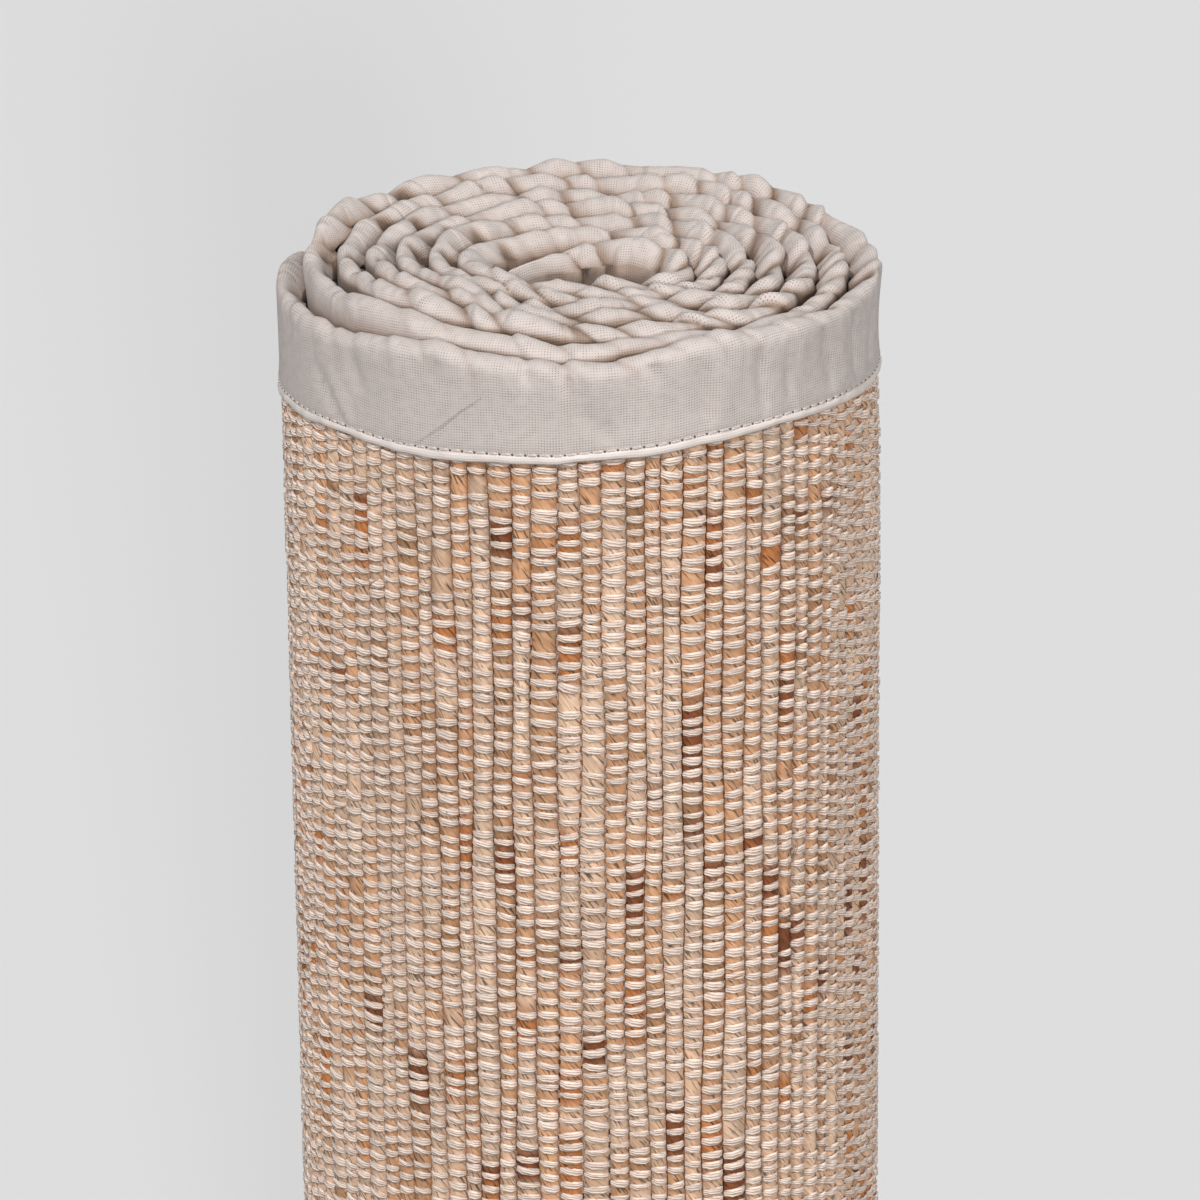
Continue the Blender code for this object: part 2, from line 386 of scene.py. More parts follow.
def woven_material():
    """Woven banana fibre and cotton, undyed: stripes of cord in mixed browns, each crossed by
    off-white threads that lie half a pitch on from those on the next cord."""
    material, tree, shader = new_material("woven_banana_fibre")
    along, up = split_up(tree, uv_place(tree))
    cords = maths(tree, "DIVIDE", along, CORD_PITCH)
    cord_number = maths(tree, "FLOOR", cords)
    rows = maths(tree, "DIVIDE", up, THREAD_PITCH)
    rows = maths(tree, "ADD", rows, maths(tree, "MULTIPLY", cord_number, 0.5))
    across_row = maths(tree, "PINGPONG", rows, 0.5)
    across_cord = maths(tree, "PINGPONG", cords, 0.5)
    row_group = maths(tree, "SNAP", maths(tree, "FLOOR", rows), 6.0)
    cell = add_node(tree, "ShaderNodeCombineXYZ", X=cord_number, Y=row_group)
    tone = add_node(
        tree, "ShaderNodeTexWhiteNoise", {"noise_dimensions": "2D"}, Vector=cell.outputs[0]
    )
    ramp = add_node(tree, "ShaderNodeValToRGB", Fac=tone.outputs["Value"])
    ramp.color_ramp.interpolation = "CONSTANT"
    elements = ramp.color_ramp.elements
    for at, tone_colour in enumerate(FIBRE_TONES):
        position = at / len(FIBRE_TONES)
        element = elements[at] if at < 2 else elements.new(position)
        element.position = position
        element.color = colour(tone_colour)
    over = maths(tree, "LESS_THAN", across_row, 0.3)
    feed(tree, shader.inputs["Base Color"], blend(tree, over, ramp.outputs["Color"], "#E6DACB"))
    relief = maths(tree, "MULTIPLY_ADD", over, 0.5, across_cord)
    feed(tree, shader.inputs["Normal"], bump(tree, relief, 1.0, 1.6 * MM))
    feed(tree, shader.inputs["Roughness"], 0.85)
    return material


woven = woven_material()
woven_sheet = place_mesh("woven_sheet", woven_sheet_mesh(), woven)
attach(woven_sheet, "root")
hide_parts("mat_field")


# The cords. Strips of banana stem fibre are twisted by hand into cords 3.5 to 6 mm wide, so
# each one swells, thins and changes from straw to dark brown every few centimetres. They lie
# side by side round the outer turn, and wander a little, because they are beaten in by hand.

CORD_FIRST = 11 * MM  # along the mat, under the strip on the outer end
CORD_LAST = distance_at(1.0) + 8 * MM
CORD_MIDDLE = 0.35 * MM  # out from the mat's middle line
CORD_HALF_DEPTH = 1.65 * MM
CORD_STEP = 5 * MM  # between the points up a cord
CORD_CORNERS = 6
CORD_FOOT = 20 * MM
CORD_HEAD = MAT_WIDTH - 12 * MM
# Wave lengths and heights: of each cord's edge, and of all cords together.
CORD_WANDER = ((0.29, 0.11, 0.047), (0.35 * MM, 0.30 * MM, 0.20 * MM))
CLOTH_SWAY = ((0.47,), (0.8 * MM,))
CORD_LEAN = 0.012  # of the cords at the left, sideways for each mm down
CORD_LEAN_TURN = 0.17
CORD_LEAN_WIDTH = 60 * MM
TWIST_LENGTH = 19 * MM  # up the cord, for one turn of its strips
TONE_CHANCES = (0.24, 0.21, 0.19, 0.15, 0.12, 0.09)  # of each of the fibre's tones
TONES_A_CORD = 81
LIGHT_TONES = 3  # the first of the fibre's tones
LIGHT_TONE_LENGTH = (6 * MM, 45 * MM)
DARK_TONE_LENGTH = (4 * MM, 13 * MM)
TONE_SHADES = (0.80, 1.10)
TUCK = 5 * MM  # of cord and thread under the binding

weave_seed = np.random.default_rng(7095)
cord_count = int(round((CORD_LAST - CORD_FIRST) / CORD_PITCH))
cord_widths = np.exp(weave_seed.normal(0, 0.12, cord_count))


def cord_edges(height):
    """The edges between the cords, as distances along the mat, at the given heights."""
    even = np.concatenate(((0,), np.cumsum(cord_widths)))
    edges = (CORD_FIRST + even * (CORD_LAST - CORD_FIRST) / even[-1])[:, None] + 0 * height
    for edge in range(cord_count + 1):
        edges[edge] += waves(height, *CORD_WANDER, 1000 + edge)
    from_lean = (edges - distance_at(CORD_LEAN_TURN)) / CORD_LEAN_WIDTH
    lean = CORD_LEAN * np.exp(-(from_lean ** 2))
    return edges + lean * (MAT_WIDTH - height) + waves(height, *CLOTH_SWAY, 31)


def cord_colours(cord, height):
    """Lengths of one tone along a cord, which run into each other: 6 to 45 mm of a light one,
    but only a crossing or two of a dark one."""
    draw = np.random.default_rng(5000 + cord)
    chances = np.array(TONE_CHANCES) * draw.uniform(0.3, 1.7, len(TONE_CHANCES))
    chances /= chances.sum()
    tones = draw.choice(len(FIBRE_TONES), size=TONES_A_CORD, p=chances)
    light_length = draw.uniform(*LIGHT_TONE_LENGTH, TONES_A_CORD)
    dark_length = draw.uniform(*DARK_TONE_LENGTH, TONES_A_CORD)
    joints = np.cumsum(np.where(tones < LIGHT_TONES, light_length, dark_length))[:-1]
    shade = draw.uniform(*TONE_SHADES, TONES_A_CORD)
    place = np.searchsorted(joints, height)
    palette = np.array([linear(tone) for tone in FIBRE_TONES])
    return palette[tones[place]] * shade[place][:, None]


def cord_mesh(name, cords):
    height = np.arange(CORD_FOOT, CORD_HEAD, CORD_STEP)
    edges = cord_edges(height)
    turns = np.linspace(0, math.tau, CORD_CORNERS, endpoint=False) - 0.5 * math.pi
    rounding = np.abs(np.sin(turns)) ** 0.9 * np.sign(np.sin(turns))
    all_points, all_uv, all_colours, faces = [], [], [], []
    start = 0
    for cord in cords:
        middle = (edges[cord] + edges[cord + 1]) / 2
        half = (edges[cord + 1] - edges[cord]) / 2
        depth = CORD_HALF_DEPTH * (0.82 + 0.18 * half / (CORD_PITCH / 2))
        distance = middle[:, None] + half[:, None] * 1.02 * np.cos(turns)
        offset = CORD_MIDDLE + depth[:, None] * rounding
        points = in_roll(distance, offset, height[:, None])
        rows = len(height)
        index = start + np.arange(rows * CORD_CORNERS).reshape(rows, CORD_CORNERS)
        wrapped = np.hstack((index, index[:, :1]))
        faces.append(grid_corners(wrapped))
        u = np.linspace(0, 1, CORD_CORNERS + 1)[None, :] + np.zeros((rows, 1))
        v = height[:, None] + np.zeros((1, CORD_CORNERS + 1)) + cord
        grid = np.stack((u, v), axis=-1).reshape(-1, 2)
        all_uv.append(grid[grid_corners(np.arange(len(grid)).reshape(rows, -1)).ravel()])
        all_points.append(points.reshape(-1, 3))
        tones = cord_colours(cord, height)
        all_colours.append(np.repeat(tones, CORD_CORNERS, axis=0))
        start += rows * CORD_CORNERS
    points, faces = np.vstack(all_points).tolist(), np.vstack(faces).tolist()
    mesh = mesh_of(name, points, faces, np.vstack(all_uv))
    tint = mesh.attributes.new("fibre_tone", "FLOAT_COLOR", "POINT")
    values = np.vstack(all_colours)
    values = np.hstack((values, np.ones((len(values), 1))))
    tint.data.foreach_set("color", values.astype(np.float32).ravel())
    return mesh


def cord_material():
    """Hand-twisted banana stem fibre: flat, slightly glossy strips that run diagonally round
    the cord, with dark lines between them and here and there a broken fibre."""
    material, tree, shader = new_material("twisted_banana_fibre")
    round_it, up = split_up(tree, uv_place(tree))
    twist = maths(tree, "MULTIPLY", up, 1 / TWIST_LENGTH)
    strand = maths(tree, "MULTIPLY", maths(tree, "SUBTRACT", round_it, twist), 13.0)
    where = add_node(
        tree, "ShaderNodeCombineXYZ", X=strand, Y=maths(tree, "MULTIPLY", twist, 2.6)
    ).outputs[0]
    fibre = noise(tree, where, 1.0, Detail=3.0, Roughness=0.65)
    slit = noise(tree, scaled(tree, where, 1.7), 1.0, Detail=1.0)
    slit_depth = spread(tree, slit, 0.36, 0.41, 0.28, 1.0)
    dark = maths(tree, "MULTIPLY", spread(tree, fibre, 0.30, 0.60, 0.66, 1.14), slit_depth)
    tone = attribute(tree, "fibre_tone").outputs["Color"]
    feed(tree, shader.inputs["Base Color"], scaled(tree, tone, dark))
    feed(tree, shader.inputs["Normal"], bump(tree, fibre, 0.8, 0.5 * MM))
    feed(tree, shader.inputs["Roughness"], spread(tree, fibre, 0.3, 0.7, 0.75, 0.45))
    return material


fibre_cord = cord_material()
half_the_cords = cord_count // 2
for name, cords in (
    ("fibre_cords_a", range(half_the_cords)),
    ("fibre_cords_b", range(half_the_cords, cord_count)),
):
    piece = place_mesh(name, cord_mesh(name, cords), fibre_cord)
    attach(piece, "root")


# The threads. Off-white two-ply cotton, about 1.9 mm across, passes over one cord and under the
# next, so on each cord it shows as a short arc that dives into the groove on both sides. The
# arcs on neighbouring cords lie about half a pitch apart.

THREAD_THICKNESS = 1.95 * MM
THREAD_DEPTH = 0.65 * MM
ARC_STATIONS = (-62, -24, 24, 62)  # degrees round the cord
ARC_POLE = 88
# The outline of the two plies side by side: up the roll and out of it, as shares.
PLY_OUTLINE = ((-0.50, 0.05), (-0.30, 1.0), (0.0, 0.55), (0.30, 1.0), (0.50, 0.05))
THREADS_SKIPPED = 0.015  # share of the crossings where no thread shows
THREAD_TILT = math.radians(4.5)  # spread, from one crossing to the next
ROW_SPREAD = 0.10  # of a thread's place in its row, as a share of the pitch
ARC_MARGIN = 10 * MM  # below the first row and above the last
ROW_SWAY = ((0.13, 0.06), (0.10, 0.07))  # wave lengths, and heights as shares of the pitch
ARC_REACH = 1.04  # of its cord's width, so that it dives into both grooves
ARC_DEPTH_SPREAD = 0.04
ARC_THICKNESS_SPREAD = 0.14
ARC_THICKNESS_LIMITS = (0.6, 1.35)
PIECES_ROUND = 4


def crossing_arc():
    """One thread over a cord of unit width, out of which the roll's outside is -Y."""
    sides = len(PLY_OUTLINE)
    stations = len(ARC_STATIONS)
    rings_at = [(station + 0.5) / stations for station in range(stations)]
    points = []
    faces, uvs = tube_sides(rings_at, sides)
    for degrees in ARC_STATIONS:
        angle = math.radians(degrees)
        slim = 1.0 if abs(degrees) < 60 else 0.80
        for up, out in PLY_OUTLINE:
            radius = CORD_HALF_DEPTH + THREAD_DEPTH * out * slim
            reach = 1.03 if out > 0.5 else 1.0
            points.append(
                (
                    0.5 * reach * math.sin(angle),
                    -radius * math.cos(angle),
                    THREAD_THICKNESS * up * slim,
                )
            )
    for ring, pole_angle, at in ((0, -ARC_POLE, 0.0), (stations - 1, ARC_POLE, 1.0)):
        angle = math.radians(pole_angle)
        pole = len(points)
        points.append((0.5 * math.sin(angle), -CORD_HALF_DEPTH * math.cos(angle), 0))
        for side in range(sides):
            pair = [ring * sides + side, ring * sides + (side + 1) % sides]
            pair_uv = [(rings_at[ring], side / sides), (rings_at[ring], (side + 1) / sides)]
            if ring == 0:
                pair, pair_uv = pair[::-1], pair_uv[::-1]
            faces.append((pole, *pair))
            uvs += [(at, (side + 0.5) / sides), *pair_uv]
    return mesh_of("crossing_arc", points, faces, uvs)


def scatter_tree(name):
    """Puts a shape on every point, turned and stretched by the point's own attributes."""
    tree = bpy.data.node_groups.new(name, "GeometryNodeTree")
    for label, kind in (("Points", "Geometry"), ("Shape", "Object"), ("Material", "Material")):
        tree.interface.new_socket(label, in_out="INPUT", socket_type="NodeSocket" + kind)
    tree.interface.new_socket("Mesh", in_out="OUTPUT", socket_type="NodeSocketGeometry")
    given = add_node(tree, "NodeGroupInput")
    shape = add_node(tree, "GeometryNodeObjectInfo", Object=given.outputs["Shape"])
    turned, stretch = [
        add_node(
            tree, "GeometryNodeInputNamedAttribute", {"data_type": "FLOAT_VECTOR", "Name": label}
        ).outputs["Attribute"]
        for label in ("turned", "stretch")
    ]
    placed = add_node(
        tree,
        "GeometryNodeInstanceOnPoints",
        Points=given.outputs["Points"],
        Instance=shape.outputs["Geometry"],
        Rotation=turned,
        Scale=stretch,
    )
    real = add_node(tree, "GeometryNodeRealizeInstances", Geometry=placed.outputs[0])
    finish = add_node(
        tree,
        "GeometryNodeSetMaterial",
        Geometry=real.outputs[0],
        Material=given.outputs["Material"],
    )
    add_node(tree, "NodeGroupOutput", Mesh=finish.outputs[0])
    return tree


def scatter(name, tree, shape, points, turned, stretch, tone, material):
    """The plain mesh of a shape put on every point. Tone is kept as an attribute."""
    cloud = bpy.data.meshes.new(name + "_points")
    cloud.from_pydata(points.tolist(), [], [])
    for label, values in (("turned", turned), ("stretch", stretch)):
        layer = cloud.attributes.new(label, "FLOAT_VECTOR", "POINT")
        layer.data.foreach_set("vector", values.astype(np.float32).ravel())
    layer = cloud.attributes.new("tone", "FLOAT", "POINT")
    layer.data.foreach_set("value", tone.astype(np.float32))
    item = bpy.data.objects.new(name, cloud)
    bpy.context.collection.objects.link(item)
    modifier = item.modifiers.new("scatter", "NODES")
    modifier.node_group = tree
    given = {"Shape": shape, "Material": material}
    for socket in tree.interface.items_tree:
        if socket.name in given:
            modifier[socket.identifier] = given[socket.name]
    item.update_tag()
    evaluated = item.evaluated_get(bpy.context.evaluated_depsgraph_get())
    mesh = bpy.data.meshes.new_from_object(evaluated)
    bpy.data.objects.remove(item)
    for spare in ("turned", "stretch"):
        if spare in mesh.attributes:
            mesh.attributes.remove(mesh.attributes[spare])
    return place_mesh(name, mesh, material)


def thread_material():
    """Undyed two-ply cotton, matt: each ply is itself twisted, so fine strands slant across it,
    with soft tan shade between them and a little fluff that dulls the edges."""
    material, tree, shader = new_material("cotton_thread")
    tone = attribute(tree, "tone").outputs["Fac"]
    along, round_it = split_up(tree, uv_place(tree))
    wound = maths(tree, "MULTIPLY_ADD", along, 1.3, maths(tree, "MULTIPLY", round_it, 5.0))
    strand = maths(tree, "PINGPONG", maths(tree, "MULTIPLY_ADD", tone, 3.0, wound), 0.5)
    in_space = add_node(tree, "ShaderNodeTexCoord").outputs["Object"]
    fluff = noise(tree, in_space, 900.0, Detail=2.0)
    height = maths(tree, "MULTIPLY_ADD", fluff, 0.35, strand)
    ramp = add_node(tree, "ShaderNodeValToRGB", Fac=height)
    between, thread = ramp.color_ramp.elements
    between.position, between.color = 0.15, colour("#B48565")
    thread.position, thread.color = 0.36, colour("#FFEBDC")
    tint = spread(tree, tone, 0.0, 1.0, 0.86, 1.04)
    feed(tree, shader.inputs["Base Color"], scaled(tree, ramp.outputs["Color"], tint))
    feed(tree, shader.inputs["Normal"], bump(tree, height, 0.9, 0.3 * MM))
    feed(tree, shader.inputs["Roughness"], 0.9)
    feed(tree, shader.inputs["Sheen Weight"], 0.25)
    return material


def crossing_places():
    """Every arc's cord and its height, a little off an even row."""
    rows = int((MAT_WIDTH - 2 * ARC_MARGIN) / THREAD_PITCH)
    cords, heights = [], []
    for cord in range(cord_count):
        draw = np.random.default_rng(9000 + cord)
        row = np.arange(rows) + 0.5 * (cord % 2)
        sway = waves(row * THREAD_PITCH, *ROW_SWAY, 300 + cord)
        row = row + sway + draw.normal(0, ROW_SPREAD, rows)
        cords.append(np.full(rows, cord))
        heights.append(ARC_MARGIN + row * THREAD_PITCH)
    return np.concatenate(cords), np.concatenate(heights)


cotton_thread = thread_material()
arc_shape = bpy.data.objects.new("arc_shape", crossing_arc())
over_and_under = scatter_tree("threads_over_cords")
arc_cord, arc_height = crossing_places()
edge_heights = np.arange(0, MAT_WIDTH + CORD_STEP, CORD_STEP)
edge_table = cord_edges(edge_heights)
arc_left = np.empty_like(arc_height)
arc_right = np.empty_like(arc_height)
for cord in range(cord_count):
    on_cord = arc_cord == cord
    arc_left[on_cord] = np.interp(arc_height[on_cord], edge_heights, edge_table[cord])
    arc_right[on_cord] = np.interp(arc_height[on_cord], edge_heights, edge_table[cord + 1])
arc_distance = (arc_left + arc_right) / 2
arc_width = arc_right - arc_left
lowest_arc = hem_depth(arc_distance) - TUCK
highest_arc = rim_level(arc_distance) - hem_depth(arc_distance) + 0.5 * MM
shown = (arc_height > lowest_arc) & (arc_height < highest_arc)
shown &= np.random.default_rng(77).uniform(0, 1, len(arc_height)) > THREADS_SKIPPED
arc_heading = np.arctan2(*plan_heading(arc_distance)[::-1])
arc_draw = np.random.default_rng(4242)
arc_tilt = arc_draw.normal(0, THREAD_TILT, len(arc_height))
arc_turned = np.stack((np.zeros_like(arc_tilt), arc_tilt, arc_heading), axis=1)
arc_stretch = np.stack(
    (
        arc_width * ARC_REACH,
        arc_draw.normal(1.0, ARC_DEPTH_SPREAD, len(arc_height)),
        np.clip(
            arc_draw.normal(1.0, ARC_THICKNESS_SPREAD, len(arc_height)), *ARC_THICKNESS_LIMITS
        ),
    ),
    axis=1,
)
arc_tone = arc_draw.uniform(0, 1, len(arc_height))
arc_points = in_roll(arc_distance, CORD_MIDDLE, arc_height)
for part in range(PIECES_ROUND):
    chosen = shown & (arc_cord * PIECES_ROUND // cord_count == part)
    piece = scatter(
        f"cotton_threads_{part + 1}",
        over_and_under,
        arc_shape,
        arc_points[chosen],
        arc_turned[chosen],
        arc_stretch[chosen],
        arc_tone[chosen],
        cotton_thread,
    )
    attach(piece, "root")
bpy.data.objects.remove(arc_shape)


# The binding of the two long edges. A strip of undyed cotton is folded over the edge of the mat
# and sewn down with its hem turned in. Rolled up, it is squeezed on the inside of each turn, so
# it puffs into a soft rim with a pucker every centimetre or two, deepest on the inner side.

BINDING_OUT = 2.9 * MM
RIM_OUTER_HEIGHT = 3.4 * MM
RIM_INNER_HEIGHT = 6.0 * MM
FLAP_RIM = 0.24  # of a full rim's width, at the loose inner end
RIM_FILL = (0.455, 0.49)  # of the pitch between turns: outside, and next to another turn
RIM_FULLER = 0.035  # of the pitch more, at the right
WALL_FILL = (0.47, 0.48)  # of the pitch, by the walls below: on the outer and the inner side
PUCKER_SPACING_OUTER = (6.0 * MM, 23.0 * MM)
PUCKER_SPACING_INNER = (5.5 * MM, 17.0 * MM)
PUCKER_SKEW = 7.5 * MM
PUCKER_SKEW_IN_FRONT = 1.0 * MM
PUFF_HEIGHT = (1.6 * MM, 3.8 * MM)
PUFF_RISE = (0.10, 0.45)  # of a puff's length, before its ridge
SMALL_FOLD_SPACING = 4.6 * MM
SMALL_FOLD_DEPTH = 0.45 * MM
# Where the outermost turn's rim stands up from an even top: degrees round the roll, mm.
OUTER_LIFTS = (
    (-180, 0.0), (-158, 0.3), (-145, 1.8), (-130, 3.0), (-116, 3.5), (-105, 1.9), (-95, 1.3),
    (-84, 1.7), (-72, 3.8), (-60, 4.0), (-45, 3.3), (-30, 2.2), (0, 0.4), (30, 0.0), (180, 0.0),
)
PUFF_LIMIT = 0.45 * MM  # sideways, towards the next turn
INNER_WALL = 2.75 * MM

# How much higher than an even top each turn's rim stands, in mm, at the left, front, right and
# back of the roll, from the outermost turn to the innermost.
SIDE_STARTS = (0.06, 0.31, 0.56, 0.81)  # the turn at which the spiral first comes by
TURN_LIFTS = (
    (0.5, 4.2, 4.8, 4.8, 4.8, 4.6, 3.0, 1.8),
    (0.0, 2.7, 3.8, 3.3, 2.7, 2.2, 1.7, 1.7),
    (0.0, 0.3, 0.8, 0.8, 0.8, 0.6, 0.6, 0.6),
    (1.0, 1.2, 0.5, 1.0, 1.0, 0.6, 0.4, 0.4),
)
# Where the rim stands up more at the back left: turns from the outer end, mm.
BACK_LEFT_LIFTS = (
    (0.86, 0.0), (0.89, 0.3), (0.92, 1.4), (0.95, 2.0), (0.99, 3.4), (1.02, 3.2), (1.06, 0.0),
)
# Where the rims of the inner turns stand up more at the front left: degrees round the roll, mm,
# and the share of it that each turn has.
FRONT_LEFT_LIFTS = ((-180, 0.0), (-162, 1.6), (-142, 3.4), (-122, 2.7), (-105, 1.3), (-88, 0.0))
FRONT_LEFT_SHARES = ((1.0, 0.0), (1.1, 0.9), (2.15, 1.25), (3.15, 0.9), (4.15, 0.5), (6.2, 0.0))
FLAP_SINK = 2.4 * MM  # of the rim, at the tip of the loose inner end
FLAP_SINK_LENGTH = 26 * MM
OUTER_OVERHANG = 0.5 * MM  # of the outermost rim, at the right
BINDING_STEP = 0.75 * MM
THREAD_DRAWN = 0.62 * MM  # from thread to thread of the sheeting
CREST_SHIFT = 0.42  # of the rim's half-width, towards its outer side, except in front
INNER_BOW = (1.35, 1.5)  # how the rim's inner side rounds over: in front, and more behind
OUTER_BOW = 0.85
BEHIND_SHORTER = 2.0 * MM  # of the rim's inner side, except in front
FLAP_SLIMS_OVER = 14 * MM
MEANDER = ((0.047, 0.029, 0.017), (0.45 * MM, 0.4 * MM, 0.3 * MM))  # wave lengths and heights
HEM_PUFF = ((0.0113, 0.0071, 0.0043), (0.10 * MM, 0.09 * MM, 0.05 * MM))
HEM_EDGE = ((0.052, 0.021, 0.0093), (0.22 * MM, 0.12 * MM, 0.06 * MM))
BOB = ((0.061, 0.034, 0.021), (0.45 * MM, 0.4 * MM, 0.25 * MM))
# The depth in mm below the rim at which the painted shade on the rim's inner and outer sides is
# full, and how much less that is in front and behind.
INNER_PAINTED_SHADE = (5.2, 2.0)
OUTER_PAINTED_SHADE = (2.7, 0.8)
STITCH_LINE = 2.2 * MM  # above the hem's edge
HEM_PALE_TO = 3.05 * MM  # round the outline, from the hem's inner edge
END_ROUNDING = 4.5 * MM
END_DROP = 3.5 * MM
END_LENGTH = 32 * MM
END_LEAN = 1.2 * MM  # of the rim, on to the next turn
END_SINK = 2.2 * MM

# Creases in the outer band: degrees round the roll and mm below the rim, at both ends, then the
# crease's half-width and depth in mm. A minus depth is a ridge.
CREASE_STRENGTH = 1.5
BAND_CREASES = (
    (-141, 4, -136, 14, 2.2, 0.45),
    (-152, 9, -141, 24, 1.5, 0.60),
    (-146, 11, -138, 25, 1.7, -0.50),
    (-120, 2, -116, 9, 2.5, 0.40),
    (-101, -2, -100, 4, 1.6, 1.1),
    (-94, -2, -91, 7, 1.3, 0.9),
    (-81, -3, -73, 6, 2.6, 0.9),
    (-92, 9, -80, 22, 2.0, 0.25),
    (-84, 12, -86, 24, 1.5, 0.28),
    (-66, 3, -64, 21, 2.0, 0.55),
    (-61, 6, -60, 21, 1.7, -0.45),
    (-53, 2, -51, 21, 1.6, 0.50),
    (-46, 8, -44, 22, 1.5, 0.40),
    (-35, 2, -31, 20, 1.8, 0.60),
    (-29, 4, -26, 19, 1.5, -0.60),
    (-23, 2, -21, 21, 1.5, 0.70),
    (-16, 3, -18, 20, 1.3, -0.50),
    (-10, 4, -13, 21, 1.6, 0.60),
    (20, 2, 22, 18, 2.0, 0.50),
    (55, 3, 57, 16, 2.0, 0.45),
    (95, 2, 97, 20, 2.0, 0.50),
    (130, 3, 128, 18, 2.0, 0.40),
)


def pucker_grid(seed):
    """The puckers' places along the mat, closer together towards the core, and each puff's
    height and the share of its length before its ridge."""
    draw = np.random.default_rng(seed)
    places = [-2 * MM]
    while places[-1] < MAT_LENGTH + PUCKER_SPACING_OUTER[1]:
        inwards = np.clip(places[-1] / MAT_LENGTH, 0, 1)
        pick = draw.uniform(0, 1) ** 1.4
        short, long = np.array(PUCKER_SPACING_OUTER) * (1 - inwards) + (
            np.array(PUCKER_SPACING_INNER) * inwards
        )
        places.append(places[-1] + short + (long - short) * pick)
    places = np.array(places)
    lengths = np.diff(places, prepend=places[0] - 8 * MM)
    heights = draw.uniform(*PUFF_HEIGHT, len(places)) * np.clip(lengths / (9 * MM), 0.55, 1.1)
    return places, heights, draw.uniform(*PUFF_RISE, len(places))


def turn_lift(distance):
    """The lift of the rim over an even top, smoothly between the four sides of the roll."""
    degrees = np.degrees(angle_at(distance))
    turns = turn_of(distance)
    left, front, right, back = [
        np.interp(turns, np.arange(len(row)) + start, row) * MM
        for start, row in zip(SIDE_STARTS, TURN_LIFTS)
    ]
    quarter = np.mod(degrees + 180, 360) / 90
    stops = np.stack((left, front, right, back, left))
    low = np.minimum(quarter.astype(int), 3)
    share = quarter - low
    share = share * share * (3 - 2 * share)
    column = np.arange(len(distance))
    lift = stops[low, column] * (1 - share) + stops[low + 1, column] * share
    own = np.interp(degrees, *zip(*OUTER_LIFTS)) * MM
    lift += np.interp(turns, *zip(*BACK_LEFT_LIFTS)) * MM
    front_left = np.interp(degrees, *zip(*FRONT_LEFT_LIFTS), right=0) * MM
    lift += front_left * np.interp(turns, *zip(*FRONT_LEFT_SHARES))
    lift -= FLAP_SINK * np.clip(1 - (MAT_LENGTH - distance) / FLAP_SINK_LENGTH, 0, 1)
    return lift + own * outermost_at(distance)


def puff_at(distance, across, seed):
    """How far the cloth puffs out, from the rim's outer side, across 0, to its inner, 1. The
    puckers run askew over the rim, like the lay of a rope."""
    places, heights, rises = pucker_grid(seed)
    skew = PUCKER_SKEW - PUCKER_SKEW_IN_FRONT * np.sin(angle_at(distance))
    skew = skew + waves(distance, (0.31, 0.083), (1.5 * MM, 1.5 * MM), seed + 7)
    place = distance - skew * (0.5 - across)
    after = np.clip(np.searchsorted(places, place), 1, len(places) - 1)
    share = (place - places[after - 1]) / (places[after] - places[after - 1])
    share = np.clip(share, 0, 1)
    rise = rises[after]
    puff = np.where(share < rise, share / rise, (1 - share) / (1 - rise))
    return heights[after] * (puff ** 0.85 - 0.56)


def small_folds_at(distance, across, seed):
    """Fine sharp folds that cross the puffs the other way, in patches."""
    bend = waves(distance, (0.019, 0.0083), (1.8 * MM, 0.9 * MM), seed + 11)
    place = distance + 6 * MM * across + bend
    fold = np.abs(np.mod(place / SMALL_FOLD_SPACING, 1) * 2 - 1)
    patch = np.clip(0.5 + waves(place, (0.041, 0.023), (0.5, 0.4), seed + 12), 0, 1)
    return SMALL_FOLD_DEPTH * patch * (fold ** 0.8 - 0.6)


def calm_at(distance):
    """1 where the rim is puckered as on the inner turns, less where it lies smooth: over the
    front of the outer two turns, and behind the loose inner end."""
    turn, degrees = turn_of(distance), np.degrees(angle_at(distance))
    front = np.clip(1.6 - np.abs(degrees + 85) / 80, 0, 1)
    behind_flap = 0.75 * np.exp(-(((turn - 5.96) / 0.07) ** 2))
    return (1 - front * np.clip(2.4 - turn, 0, 0.7)) * (1 - behind_flap)


def creases_at(distance, below):
    """The listed creases in the outer turn's band."""
    total = np.zeros(np.broadcast(distance, below).shape)
    first_turn = turn_of(distance) < 1.0
    degrees = np.degrees(angle_at(distance))
    for angle_1, below_1, angle_2, below_2, half_width, depth in BAND_CREASES:
        along = np.clip((below / MM - below_1) / (below_2 - below_1), -0.4, 1.4)
        angle = angle_1 + (angle_2 - angle_1) * along
        sideways = (degrees - angle) * math.radians(1) * OUTER_RADIUS / MM
        fade = np.clip(1 - np.abs(along - 0.5) * 2, -0.8, 1)
        strength = depth * np.clip(fade * 2.2, 0, 1) * first_turn
        total += strength * np.exp(-((sideways / half_width) ** 2))
    return CREASE_STRENGTH * total * MM


# Sharp folds in the core's back wall, next to the loose end: mm from the mat's inner end, then
# the fold's half-width and depth in mm. A minus depth is a ridge.
CORE_CREASES = (
    (26.5, 3.2, 1.0), (33.0, 1.1, -1.5), (38.0, 3.0, 0.9), (45.0, 1.5, -1.1), (54.0, 4.0, 0.8),
)
